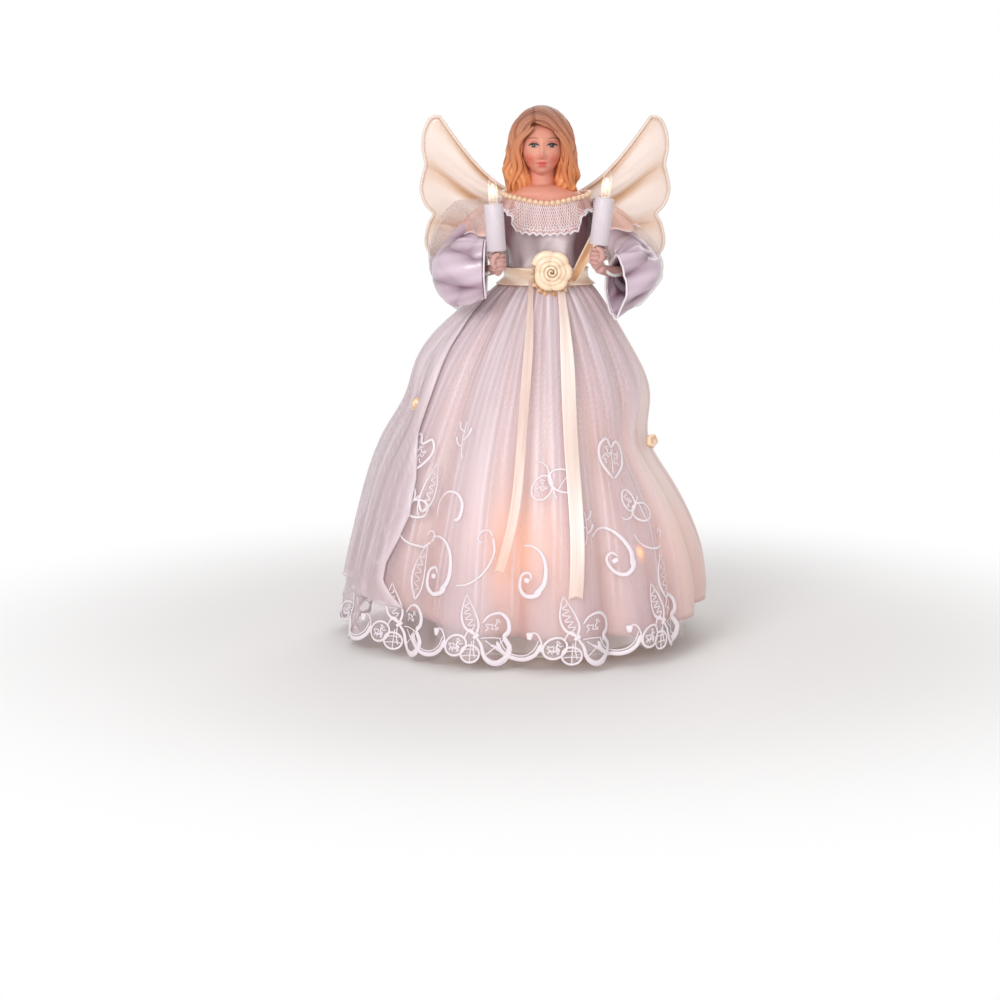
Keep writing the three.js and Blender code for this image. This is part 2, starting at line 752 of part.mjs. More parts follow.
// Sash
const sashBottom = skirtTop - sashDrop;
function sash() {
  const heights = [sashBottom, skirtTop + seatGap, skirtTop + 2 * sashDrop, sashBottom + sashWidth];
  const grid = (wall) =>
    heights.map((z) =>
      range(torsoSteps).map((i) => {
        const [halfX, halfY] = torsoHalf(z, bodiceOutside);
        const turn = turnOf(i, torsoSteps);
        const angle = Math.atan2(halfY * Math.sin(turn), halfX * Math.cos(turn));
        const overSkirt = overskirtCrest(angle, z);
        const overBodice = ellipseRadius(halfX, halfY, angle);
        const inner = (z > skirtTop + seatGap ? overBodice : overSkirt) + seatGap;
        return polar(inner + wall, angle, z);
      }),
    );
  return slab(grid(sashWall), grid(0), true);
}
add("sash", sash(), ivorySatin);

// Rose: a wound ribbon whose petals step down along a spiral
const roseX = roseOffset;
const roseZ = sashBottom + sashWidth / 2 + roseRise;
const roseBack = -(overskirtCrest(-Math.PI / 2, sashBottom) + sashWall + 2 * seatGap);
function rose() {
  const ringAt = (share, yAt) =>
    range(roseSteps).map((i) => {
      const turn = turnOf(i, roseSteps);
      const radius = roseRadius * share;
      return [roseX + radius * Math.cos(turn), yAt(turn), roseZ + radius * Math.sin(turn)];
    });
  const shares = range(roseRings).map((i) => (i + 1) / roseRings);
  const backRings = shares.map((share) => ringAt(share, () => roseBack - roseCup * share * share));
  const frontRings = shares.map((share) =>
    ringAt(share, (turn) => {
      const wound = roseTurns * share - turn / (2 * Math.PI);
      const dome = roseDepth * Math.sqrt(1 - roseFlatShare * share * share);
      return roseBack - dome - rosePetalDepth * (wound - Math.floor(wound));
    }),
  );
  return loft([...backRings, ...frontRings.reverse()]);
}
add("rose", rose(), ivorySatin);

// Bow loop, a flattened loop of ribbon seen on its face
function bowLoop() {
  const rise = radians(bowLoopAngle);
  const along = new THREE.Vector3(Math.cos(rise), 0, Math.sin(rise));
  const across = new THREE.Vector3(-Math.sin(rise), 0, Math.cos(rise));
  const startY = roseBack - seatGap + bowLoopDepth / 4;
  const start = new THREE.Vector3(roseX + bowOffset, startY, skirtTop + sashDrop);
  const turns = range(bowSteps).map((i) => turnOf(i, bowSteps));
  const grid = (inset) =>
    [-bowRibbonWidth / 2, bowRibbonWidth / 2].map((offset) =>
      turns.map((turn) =>
        start
          .clone()
          .addScaledVector(along, bowLoopLength / 2 - (bowLoopLength / 2 - inset) * Math.cos(turn))
          .addScaledVector(new THREE.Vector3(0, 1, 0), (bowLoopDepth / 2 - inset) * Math.sin(turn))
          .addScaledVector(across, offset)
          .toArray(),
      ),
    );
  return slab(grid(0), grid(bowWall), true);
}
add("bow_loop", bowLoop(), ivorySatin);

// Ribbon tails, which hang down the front over the crests of the folds
function frontOfSkirt(x, z, extra) {
  let y = -skirtFront;
  for (const unused of range(6)) {
    const radius = overskirtCrest(Math.atan2(y, x), z) + extra;
    y = -Math.sqrt(Math.max(radius * radius - x * x, 0));
  }
  return [x, y, z];
}

function ribbonTail(width, topX, endX, endHeight) {
  const grid = (extra) =>
    range(tailRows + 1).map((row) => {
      const share = row / tailRows;
      const [x, z] = [mix(topX, endX, share), mix(sashBottom - seatGap, endHeight, share)];
      return [x - width / 2, x, x + width / 2].map((edge) => frontOfSkirt(edge, z, extra));
    });
  return slab(grid(tailGap + tailWall), grid(tailGap), false);
}
const leftTail = ribbonTail(leftTailWidth, leftTailTopX, leftTailEndX, leftTailEndHeight);
const rightTail = ribbonTail(rightTailWidth, rightTailTopX, rightTailEndX, rightTailEndHeight);
add("ribbon_tail_left", leftTail, ivorySatin);
add("ribbon_tail_right", rightTail, ivorySatin);

// Wings on a strip of card at the back
const backingFront = chestHalfDepth + bodiceOutside + seatGap;
const wingPlane = backingFront + backingWall / 2;
const wingRootX = backingHalfWidth + 2 * (seatGap + wingWireRadius);
const wingRootTop = torsoTop + wingRootRise;
const wingBottom = wingRootTop - wingFall;

function wingPoint(side, x, z, forward) {
  const sweep = wingSweepShare * (x - wingRootX);
  return [side * x, wingPlane + sweep - forward, z];
}

// The wing's middle surface. Along runs from 0 at the root to 1 at the outer edge, and down from 0 at the top
// edge to 1 at the bottom.
function wingSpot(along, down) {
  const place = down * (wingEdgeShares.length - 1);
  const row = Math.min(Math.floor(place), wingEdgeShares.length - 2);
  const [first, second] = [wingEdgeShares[row], wingEdgeShares[row + 1]];
  const edgeX = wingRootX + wingSpan * mix(first[0], second[0], place - row);
  const edgeZ = wingBottom + wingHeight * mix(first[1], second[1], place - row);
  const rootZ = wingRootTop - wingRootHeight * down;
  const sag = wingTopSag * Math.sin(Math.PI * along) * (1 - down) ** 2;
  return [mix(wingRootX, edgeX, along), mix(rootZ, edgeZ, along) - sag];
}

function wing(side) {
  const columns = wingLobes * wingLobeSteps;
  const grid = (face) =>
    range(columns + 1).map((column) =>
      range(wingRows + 1).map((row) => {
        const [along, down] = [row / wingRows, column / columns];
        const lobe = Math.sqrt(Math.abs(Math.sin(Math.PI * wingLobes * down)));
        const pad = wingPad * lobe * Math.sin(Math.PI * Math.sqrt(along)) ** wingPadPower;
        return wingPoint(side, ...wingSpot(along, down), (face * (wingEdge + pad)) / 2);
      }),
    );
  return slab(grid(1), grid(-1), false);
}

// The wire that stiffens a wing runs round it in the seam.
function wingWire(side) {
  const columns = wingLobes * wingLobeSteps;
  const edge = [
    ...range(wingRows).map((row) => wingSpot(row / wingRows, 0)),
    ...range(columns).map((column) => wingSpot(1, column / columns)),
    ...range(wingRows + 1).map((row) => wingSpot(1 - row / wingRows, 1)),
  ];
  const normalAfter = (i) => {
    const [here, after] = [edge[(i + edge.length) % edge.length], edge[(i + 1) % edge.length]];
    return new THREE.Vector2(here[1] - after[1], after[0] - here[0]).normalize();
  };
  const centres = edge.map(([x, z], i) => {
    const normal = normalAfter(i);
    const corner = normal.clone().add(normalAfter(i - 1)).normalize();
    const offset = (wingWireRadius + seatGap) / corner.dot(normal);
    return new THREE.Vector3(...wingPoint(side, x + corner.x * offset, z + corner.y * offset, 0));
  });
  const outs = edge.map(() => new THREE.Vector3(0, 1, 0));
  return ringTube(centres, outs, () => wingWireRadius, wireSides);
}

for (const [name, side] of Object.entries({ left: -1, right: 1 })) {
  add(`wing_${name}`, wing(side), ivorySatin);
  add(`wing_wire_${name}`, wingWire(side), ivorySatin);
}
const backing = new THREE.BoxGeometry(2 * backingHalfWidth, backingWall, wingRootHeight);
add("wing_backing", backing.translate(0, wingPlane, wingRootTop - wingRootHeight / 2), card);

// Bulbs, one shape for all ten lamps, with the top of its holder at the origin
const bulbSocketRadius = bulbBaseRadius + seatGap;
const bulb = turned(
  [
    [0, -bulbSeatDepth],
    [bulbBaseRadius, -bulbSeatDepth],
    [bulbBaseRadius, bulbBaseStand],
    ...glassShares.map(([radius, length]) => [glassRadius * radius, bulbBaseStand + glassLength * length]),
  ],
  bulbSteps,
);

// Arms, hands, candles and sleeves
const shoulder = (side) => new THREE.Vector3(side * shoulderEnd, 0, shoulderZ);
function armPoint(side, [reach, forward, drop]) {
  const x = side * (shoulderEnd + reach * armReach);
  return new THREE.Vector3(x, -forward * armForward, shoulderZ - drop * armDrop);
}

function sleeve(side, shares, halfWidth, halfHeight, wall) {
  return shares.map(([reach, forward, drop, heading, width, height]) => {
    const centre = armPoint(side, [reach, forward, drop]);
    const across = new THREE.Vector3(side * Math.cos(radians(heading)), Math.sin(radians(heading)), 0);
    return range(sleeveSteps).map((i) => {
      const turn = turnOf(i, sleeveSteps);
      return centre
        .clone()
        .addScaledVector(across, (halfWidth * width - wall) * Math.cos(turn))
        .add(new THREE.Vector3(0, 0, (halfHeight * height - wall) * Math.sin(turn)))
        .toArray();
    });
  });
}

// The cuff's piping lies just past the sleeve's open end.
function cuff(side) {
  const [end] = sleeve(side, sleeveShares.slice(-1), sleeveHalfWidth, sleeveHalfHeight, sleeveWall / 2);
  const heading = radians(sleeveShares.at(-1)[3]);
  const ahead = new THREE.Vector3(side * Math.sin(heading), -Math.cos(heading), 0);
  const past = cuffRadius + seatGap;
  const centres = end.map((point) => new THREE.Vector3(...point).addScaledVector(ahead, past));
  const outs = centres.map(() => ahead);
  return ringTube(centres, outs, () => cuffRadius, wireSides);
}

function armParts(name, side, lean, lift) {
  const points = armShares.map((share) => armPoint(side, share));
  const path = curveThrough(points);
  const candleLean = radians(lean) * side;
  const up = new THREE.Vector3(Math.sin(candleLean), 0, Math.cos(candleLean));
  const footX = points.at(-1).x;
  const foot = new THREE.Vector3(footX, -armForward, shoulderZ - candleDrop + lift);
  const raised = (height) => foot.clone().addScaledVector(up, height);

  // The lead runs down the arm, turns up through the fist and ends under the lamp holder.
  const leadEnd = holderInset - seatGap;
  const leadPoints = [...points.slice(0, -1), raised(-fistHeight / 2), raised(0), raised(leadEnd)];
  const lead = curveThrough(leadPoints);
  const bore = curveThrough([
    points[0].clone().add(new THREE.Vector3(-side * cutOverrun, 0, 0)),
    ...leadPoints.slice(0, -1),
    raised(cutOverrun),
  ]);
  const boreSolid = solidOf(rod(bore, armBoreRadius, 3 * armSteps, armSides));

  const coreEnd = handStartShare - (2 * seatGap) / path.getLength();
  const core = rod(new Stretch(path, 0, coreEnd), armRadius, armSteps, armSides);
  add(`arm_${name}`, geometryOf(solidOf(core).subtract(boreSolid)), padding);

  const fist = turned(
    [
      [0, -fistHeight],
      [fistRadius / 2, -fistHeight],
      [fistRadius, -fistHeight / 2],
      [fistRadius, -fistHeight / 4],
      [fistRadius * knuckleShare, -seatGap],
      [0, -seatGap],
    ],
    armSides,
  );
  const wrist = rod(new Stretch(path, handStartShare, 1), handRadius, handSteps, armSides);
  const hand = solidOf(wrist).add(solidOf(standing(fist, foot, up))).subtract(boreSolid);
  add(`hand_${name}`, geometryOf(hand), skin);
  add(`arm_lead_${name}`, rod(lead, leadRadius, 2 * armSteps, wireSides), wireCover);

  const holderTop = candleHeight - holderInset;
  const holderRadius = candleRadius - candleWall - seatGap;
  const candle = turned(
    [
      [candleRadius - candleWall, 0],
      [candleRadius, 0],
      [candleRadius, candleHeight],
      [candleRadius - candleWall, candleHeight],
      [candleRadius - candleWall, 0],
    ],
    candleSteps,
  );
  const holder = turned(
    [
      [0, holderInset],
      [holderRadius, holderInset],
      [holderRadius, holderTop],
      [bulbSocketRadius, holderTop],
      [bulbSocketRadius, holderTop - bulbSocketDepth],
      [0, holderTop - bulbSocketDepth],
    ],
    candleSteps,
  );
  add(`candle_${name}`, standing(candle, foot, up), whitePlastic);
  add(`candle_holder_${name}`, standing(holder, foot, up), wireCover);
  add(`candle_bulb_${name}`, standing(bulb, raised(holderTop), up), glass);

  const rings = (shares, halfWidth, halfHeight) =>
    slab(
      sleeve(side, shares, halfWidth, halfHeight, 0),
      sleeve(side, shares, halfWidth, halfHeight, sleeveWall),
      true,
    );
  add(`sleeve_${name}`, rings(sleeveShares, sleeveHalfWidth, sleeveHalfHeight), satin);
  add(`oversleeve_${name}`, rings(overSleeveShares, overSleeveHalfWidth, overSleeveHalfHeight), organza);
  add(`cuff_${name}`, cuff(side), satin);
}
armParts("left", -1, leftCandleLean, 0);
armParts("right", 1, rightCandleLean, rightCandleLift);

// Skirt lamps
const lampHolder = turned(
  [
    [0, -lampHolderInside],
    [lampHolderRadius, -lampHolderInside],
    [lampHolderRadius, lampCollarGap],
    [lampCollarRadius, lampCollarGap],
    [lampCollarRadius, lampHolderTop],
    [bulbSocketRadius, lampHolderTop],
    [bulbSocketRadius, lampHolderTop - bulbSocketDepth],
    [0, lampHolderTop - bulbSocketDepth],
  ],
  lampHolderSteps,
);
lamps.forEach(({ seat, outward }, i) => {
  add(`lamp_holder_${i + 1}`, standing(lampHolder, seat, outward), wireCover);
  const rim = seat.clone().addScaledVector(outward, lampHolderTop);
  add(`lamp_bulb_${i + 1}`, standing(bulb, rim, outward), glass);
});

// Lamp wire: from the supply end up to each low lamp, round to the high ones and into the torso's bore
const cylindrical = (radius, angle, z) => new THREE.Vector3(...polar(radius, angle, z));
const besideWall = (angle, z) => cylindrical(coneRadiusAt(z) - coneWallAcross - lampWireWallGap, angle, z);
const behindLamp = ({ seat, outward }) =>
  seat.clone().addScaledVector(outward, -(lampHolderInside + 2 * seatGap + lampWireRadius));

function lampWire() {
  const route = [besideWall(Math.PI / 2, lampWireStartHeight)];
  lamps.forEach((lamp, i) => {
    const before = lamps[i - 1];
    const here = behindLamp(lamp);
    if (before && before.height === lamp.height) {
      const last = behindLamp(before);
      const radius = Math.hypot(here.x, here.y);
      const middle = (before.angle + lamp.angle) / 2;
      route.push(cylindrical(radius, middle, (here.z + last.z) / 2 - lampWireSag));
    } else if (before) {
      route.push(cylindrical(Math.hypot(here.x, here.y), lamp.angle, here.z - 2 * lampWireSag));
    }
    route.push(here);
  });
  const end = lamps.at(-1);
  const plugBottom = torsoBottom - torsoPlugLength;
  for (const share of lampWireClimbShares) {
    const angle = mix(end.angle, turnOf(lampWireEndTurns, 1), share);
    route.push(besideWall(angle, mix(end.height, plugBottom - torsoPlugLength, share)));
  }
  route.push(new THREE.Vector3(0, torsoBoreRadius / 2, plugBottom), new THREE.Vector3(0, 0, torsoBottom));
  return rod(curveThrough(route), lampWireRadius, lampWireSteps, wireSides);
}
add("lamp_wire", lampWire(), wireCover);

// Candle wire: up the torso's bore and out to both shoulders
function candleWire() {
  const riser = cylinder(leadRadius, torsoBottom + seatGap, shoulderZ, wireSides);
  const reach = shoulderEnd - 2 * seatGap;
  const crossing = cylinder(leadRadius, -reach, reach, wireSides)
    .rotateY(Math.PI / 2)
    .translate(0, 0, shoulderZ);
  return geometryOf(solidOf(riser).add(solidOf(crossing)));
}
add("candle_wire", candleWire(), wireCover);

export default topper;
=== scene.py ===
# %% [markdown]
# # An angel for the top of a tree
#
# The real thing is a doll of cloth over a hollow plastic cone: a painted head, a satin bodice, a satin
# skirt with a sheer embroidered one over it, wired wings and two small electric candles. This file dresses
# the measured model with those surfaces. Every new piece is a formula on a grid of points, so that a change
# of one size carries through the whole shape.

import bmesh
import bpy
import numpy as np
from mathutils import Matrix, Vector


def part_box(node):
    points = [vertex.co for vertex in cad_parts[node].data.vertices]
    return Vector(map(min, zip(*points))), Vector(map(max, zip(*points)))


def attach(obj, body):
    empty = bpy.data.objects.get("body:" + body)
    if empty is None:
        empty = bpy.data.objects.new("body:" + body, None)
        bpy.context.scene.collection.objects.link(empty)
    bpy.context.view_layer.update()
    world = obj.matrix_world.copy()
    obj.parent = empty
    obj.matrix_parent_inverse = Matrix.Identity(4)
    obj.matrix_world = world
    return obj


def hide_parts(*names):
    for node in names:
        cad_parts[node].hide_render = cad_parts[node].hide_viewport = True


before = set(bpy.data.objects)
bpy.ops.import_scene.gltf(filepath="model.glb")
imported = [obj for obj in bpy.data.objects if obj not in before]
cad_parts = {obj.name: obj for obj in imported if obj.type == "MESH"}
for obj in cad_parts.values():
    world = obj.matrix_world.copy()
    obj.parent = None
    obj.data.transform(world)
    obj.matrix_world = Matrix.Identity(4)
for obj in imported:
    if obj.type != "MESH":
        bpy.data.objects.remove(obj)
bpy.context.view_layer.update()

# %% [markdown]
# ## Sizes
#
# The measured model gives the places: each node's box says how high, wide and deep a piece may be. All
# formulas below work in millimetres, with +Z up and the angel facing -Y, and change to metres when a mesh
# is made.

# %% Sizes read from the measured model
MM = 0.001
sides = {"left": -1, "right": 1}


def box_of(node):
    """The lowest and highest corner of a node, in millimetres."""
    return [np.array(corner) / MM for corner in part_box(node)]


seat_gap = 0.3
cone_top = box_of("cone")[1][2]
torso_bottom = cone_top + seat_gap
torso_top = box_of("bodice")[1][2]
skirt_top = box_of("underskirt")[1][2]
bust_bottom, crown = box_of("head")[0][2], box_of("head")[1][2]
print(f"cone {cone_top:.1f}, torso {torso_top:.1f}, skirts {skirt_top:.1f}, crown {crown:.1f} mm high")

# %% [markdown]
# ## Camera, floor and light
#
# The camera stands 1.2 m away at the height of the face, looks 9.5 degrees down and takes in 0.57 m at the
# angel, which agrees with the photograph. The floor and the sky behind it are white. Two large soft lamps
# from the front, a third from behind and a white sky light the cloth evenly, as in a product photograph, so
# that a colour looks about as it is written.

# %% Camera
camera_distance = 1.2
camera_rise = np.radians(9.5)
aim = np.array([-0.0258, 0.0, 0.0775])
taken_in = 0.573
camera = bpy.data.cameras.new("camera")
camera.sensor_width = 36
camera.lens = camera.sensor_width * camera_distance / taken_in
eye = bpy.data.objects.new("camera", camera)
eye.location = aim + camera_distance * np.array([0, -np.cos(camera_rise), np.sin(camera_rise)])
eye.rotation_euler = (np.pi / 2 - camera_rise, 0, 0)
bpy.context.collection.objects.link(eye)
bpy.context.scene.camera = eye
bpy.context.scene.view_settings.view_transform = "Standard"
print(f"lens {camera.lens:.1f} mm")


# %% [markdown]
# Each material below is a small graph of nodes. One function adds a node, sets it up and links it, so that
# a graph reads as a list of steps. Colours are written as hex codes, the way a paint chart gives them, and
# one function turns them into the linear values that the renderer adds up.

# %% Functions for colours and nodes
def linear(code):
    """The linear red, green, blue and alpha of an sRGB hex code such as "#ffeedd"."""
    share = np.array([int(code[i : i + 2], 16) for i in (1, 3, 5)]) / 255
    low, high = share / 12.92, ((share + 0.055) / 1.055) ** 2.4
    return (*np.where(share <= 0.04045, low, high), 1.0)


def add_node(tree, kind, inputs=None, **settings):
    """Adds a shader node, sets its properties, and fills inputs with values or other nodes' outputs."""
    made = tree.nodes.new("ShaderNode" + kind)
    for name, value in settings.items():
        setattr(made, name, value)
    for name, value in (inputs or {}).items():
        if isinstance(value, bpy.types.NodeSocket):
            tree.links.new(value, made.inputs[name])
        else:
            made.inputs[name].default_value = value
    return made


def new_material(name):
    """A node material without any nodes: the material and its tree."""
    made = bpy.data.materials.new(name)
    made.use_nodes = True
    made.node_tree.nodes.clear()
    return made, made.node_tree


def principled(tree, sockets):
    """Ends a material with the usual shader, its sockets filled."""
    shader = add_node(tree, "BsdfPrincipled", sockets)
    add_node(tree, "OutputMaterial", {"Surface": shader.outputs[0]})


def reckon(tree, operation, *values, clamp=False):
    """One operation on two or three numbers, with the result kept between 0 and 1 if clamp is set."""
    return add_node(tree, "Math", dict(enumerate(values)), operation=operation, use_clamp=clamp).outputs[0]


def blend(tree, share, first, second):
    """A colour between two: the first where share is 0, the second where it is 1."""
    return add_node(tree, "Mix", {0: share, 6: first, 7: second}, data_type="RGBA").outputs["Result"]


def mark(tree, name):
    """The number that each point of a piece keeps under a name."""
    return add_node(tree, "Attribute", attribute_name=name).outputs["Fac"]


def cloth_noise(tree, scale, detail):
    """Noise on the flat cloth, with its width and length in mm multiplied by scale."""
    place = add_node(tree, "TexCoord")
    stretched = add_node(tree, "Mapping", {"Vector": place.outputs["UV"], "Scale": scale})
    noise = add_node(tree, "TexNoise", {"Vector": stretched.outputs[0], "Scale": 1.0, "Detail": detail})
    return noise.outputs["Fac"]


def bumpy(tree, height, strength, distance):
    """The normal of a surface with a pattern of heights on it. distance is their range in mm."""
    sockets = {"Height": height, "Strength": strength, "Distance": distance * MM}
    return add_node(tree, "Bump", sockets).outputs[0]


def seen_by_camera(tree):
    """1 for what the camera sees directly, in a reflection or through a clear piece, else 0. Only the sky
    and the floor use it."""
    ray = add_node(tree, "LightPath").outputs
    seen = reckon(tree, "MAXIMUM", ray["Is Camera Ray"], ray["Is Glossy Ray"])
    return reckon(tree, "MAXIMUM", seen, ray["Is Transmission Ray"])


# %% White sky
world = bpy.data.worlds.new("studio")
bpy.context.scene.world = world
world.use_nodes = True
sky = world.node_tree
sky.nodes.clear()
sky_light = 0.56
brightness = add_node(sky, "MapRange", {"Value": seen_by_camera(sky), "To Min": sky_light, "To Max": 1.0})
background = add_node(
    sky, "Background", {"Color": (1, 1, 1, 1), "Strength": brightness.outputs["Result"]}
)
add_node(sky, "OutputWorld", {"Surface": background.outputs[0]})

# %% Floor
floor_half, floor_below = 3.0, 0.0002
floor_corners = floor_half * np.array([(-1, -1), (1, -1), (1, 1), (-1, 1)])
floor_mesh = bpy.data.meshes.new("floor")
floor_mesh.from_pydata([(x, y, -floor_below) for x, y in floor_corners], [], [(0, 1, 2, 3)])
floor = bpy.data.objects.new("floor", floor_mesh)
bpy.context.collection.objects.link(floor)

paint, tree = new_material("white_floor_paint")
place = add_node(tree, "TexCoord")
from_middle = add_node(tree, "VectorMath", {0: place.outputs["Object"]}, operation="LENGTH")
far = add_node(
    tree,
    "MapRange",
    {"Value": from_middle.outputs["Value"], "From Min": 0.16, "From Max": 0.42},
    interpolation_type="SMOOTHSTEP",
)
shown = reckon(tree, "MULTIPLY", seen_by_camera(tree), far.outputs["Result"])
matte = add_node(tree, "BsdfDiffuse", {"Color": linear("#f4f2f1")})
white = add_node(tree, "Emission", {"Color": (1, 1, 1, 1), "Strength": 1.0})
both = add_node(tree, "MixShader", {0: shown, 1: matte.outputs[0], 2: white.outputs[0]})
add_node(tree, "OutputMaterial", {"Surface": both.outputs[0]})
floor_mesh.materials.append(paint)

# %% Three soft lamps
chest = np.array([0, 0, 0.17])


def soft_lamp(name, place, size, power):
    """A square lamp that shines at the angel's chest."""
    light = bpy.data.lights.new(name, "AREA")
    light.size = size
    light.energy = power
    lamp = bpy.data.objects.new(name, light)
    lamp.location = place
    away = np.array(place) - chest
    spin = np.arctan2(away[0], -away[1])
    tip = np.arctan2(np.hypot(away[0], away[1]), away[2])
    lamp.rotation_euler = (tip, 0, spin)
    bpy.context.collection.objects.link(lamp)


soft_lamp("key", (-0.6, -1.1, 0.8), 0.6, 7.6)
soft_lamp("fill", (0.25, -1.3, 0.3), 0.7, 3.7)
soft_lamp("rim", (0.3, 1.0, 0.9), 0.8, 4.0)

# %% [markdown]
# ## Making surfaces
#
# The function surface makes every mesh. It turns a grid of points into faces and gives each face corner a
# place on the cloth in millimetres, which the weaves read. It also takes many grids at once, so that the
# stitching is one mesh, because hundreds of separate objects would be slow to handle. The function sweep
# carries a profile along a path, for piping, thread and fingers. The other functions place and finish.


# %% Functions for meshes
def link(name, mesh):
    """Puts a mesh into the scene as a smoothly shaded object at the origin."""
    mesh.polygons.foreach_set("use_smooth", np.full(len(mesh.polygons), True))
    made = bpy.data.objects.new(name, mesh)
    bpy.context.collection.objects.link(made)
    return made


def weld(mesh):
    """Merges points that lie on each other and turns the faces outwards, which closes seams and poles."""
    shape = bmesh.new()
    shape.from_mesh(mesh)
    bmesh.ops.remove_doubles(shape, verts=shape.verts, dist=1e-4 * MM)
    bmesh.ops.dissolve_degenerate(shape, edges=shape.edges, dist=1e-4 * MM)
    bmesh.ops.recalc_face_normals(shape, faces=shape.faces)
    shape.to_mesh(mesh)
    shape.free()


def surface(name, points, wrap=False, closed=False, weave=(100, 100), **marks):
    """Joins a grid of points, rows by columns, with quads. The grid may have a first axis of several grids.
    With wrap, each row's last point meets its first. With closed, the mesh is welded into a solid skin.
    weave is the width and length in mm that the columns and rows stand for. Marks are numbers per point."""
    grids = points.reshape(-1, *points.shape[-3:])
    count, rows, columns = grids.shape[:3]
    spans = columns if wrap else columns - 1
    g, r, c = np.meshgrid(np.arange(count), np.arange(rows - 1), np.arange(spans), indexing="ij")
    steps = [(0, 0), (0, 1), (1, 1), (1, 0)]
    corner = [(g * rows + r + dr) * columns + (c + dc) % columns for dr, dc in steps]
    faces = np.stack(corner, -1).reshape(-1, 4)
    across = np.stack([(c + dc) / spans * weave[0] for dr, dc in steps], -1)
    along = np.stack([(r + dr) / (rows - 1) * weave[1] for dr, dc in steps], -1)
    mesh = bpy.data.meshes.new(name)
    mesh.vertices.add(count * rows * columns)
    mesh.vertices.foreach_set("co", (grids * MM).ravel())
    mesh.loops.add(faces.size)
    mesh.loops.foreach_set("vertex_index", faces.ravel())
    mesh.polygons.add(len(faces))
    mesh.polygons.foreach_set("loop_start", np.arange(len(faces)) * 4)
    mesh.update(calc_edges=True)
    sheet_map = mesh.uv_layers.new(name="weave")
    sheet_map.data.foreach_set("uv", np.stack([across, along], -1).ravel())
    for mark, values in marks.items():
        layer = mesh.attributes.new(mark, "FLOAT", "POINT")
        layer.data.foreach_set("value", np.broadcast_to(values, grids.shape[:3]).ravel())
    if closed:
        weld(mesh)
    return link(name, mesh)


def unit(vectors):
    """Each vector divided by its length."""
    return vectors / np.maximum(np.linalg.norm(vectors, axis=-1, keepdims=True), 1e-9)


def sweep(path, out, profile, scale=1.0, ring=False):
    """A grid of points: the profile's pairs (across, outward) carried along a path of points. The frame at
    each point is ahead = the path's direction, side = ahead x out, up = side x ahead. out is one direction
    for all points or one for each."""
    if ring:
        ahead = unit(np.roll(path, -1, axis=-2) - np.roll(path, 1, axis=-2))
    else:
        ahead = unit(np.gradient(path, axis=-2))
    side = unit(np.cross(ahead, out))
    up = np.cross(side, ahead)
    size = np.broadcast_to(scale, path.shape[:-1])[..., None, None]
    across, outward = profile.T
    section = side[..., None, :] * across[:, None] + up[..., None, :] * outward[:, None]
    return path[..., None, :] + size * section


def full_turn(count):
    """Evenly spaced angles once round, with the last step left open: 2 pi i / count."""
    return np.arange(count) / count * 2 * np.pi


def points_of(*coordinates):
    """Points from their coordinates, which are spread to one shape first."""
    return np.stack(np.broadcast_arrays(*coordinates), -1)


def polar(radius, turn, z):
    """Points at a radius and an angle about the Z axis, at height z."""
    return points_of(radius * np.cos(turn), radius * np.sin(turn), z)


def circle(sides, radius=1.0):
    """The corners of a circle, as pairs."""
    turn = full_turn(sides)
    return radius * points_of(np.cos(turn), np.sin(turn))


def ring_grid(grid):
    """Repeats a grid's first row after its last, so that a closed path has no gap."""
    return np.concatenate([grid, grid[..., :1, :, :]], axis=-3)


def turned(profile, sides):
    """A grid of points turned about Z from rows of radius and height."""
    radius, height = np.array(profile, float).T[..., None]
    return polar(radius, full_turn(sides), height)


def stand(points, seat, outward):
    """Places points that were made along +Z so that they stand at a seat and point outward."""
    up = unit(np.array(outward, float))
    side = unit(np.cross([0.0, 1.0, 0.1], up))
    depth = np.cross(up, side)
    return points @ np.stack([side, depth, up]) + np.array(seat)


def finish_piece(piece, body, material, nodes=(), thickness=0.0):
    """Gives a piece its material, body and replaced nodes, and a wall of a thickness in mm."""
    piece.data.materials.append(material)
    if thickness:
        wall = piece.modifiers.new("wall", "SOLIDIFY")
        wall.thickness = thickness * MM
        wall.offset = -1
    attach(piece, body)
    if nodes:
        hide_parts(*nodes)
    return piece


def smoothstep(low, high, value):
    """Rises smoothly from 0 at low to 1 at high: 3t^2 - 2t^3."""
    t = np.clip((value - low) / (high - low), 0, 1)
    return t * t * (3 - 2 * t)


def mix(a, b, share):
    """The value that lies a share of the way from a to b."""
    return a + (b - a) * share


def hump(value, middle, width):
    """A bell curve, 1 at its middle: exp(-((value - middle) / width)^2)."""
    return np.exp(-(((value - middle) / width) ** 2))
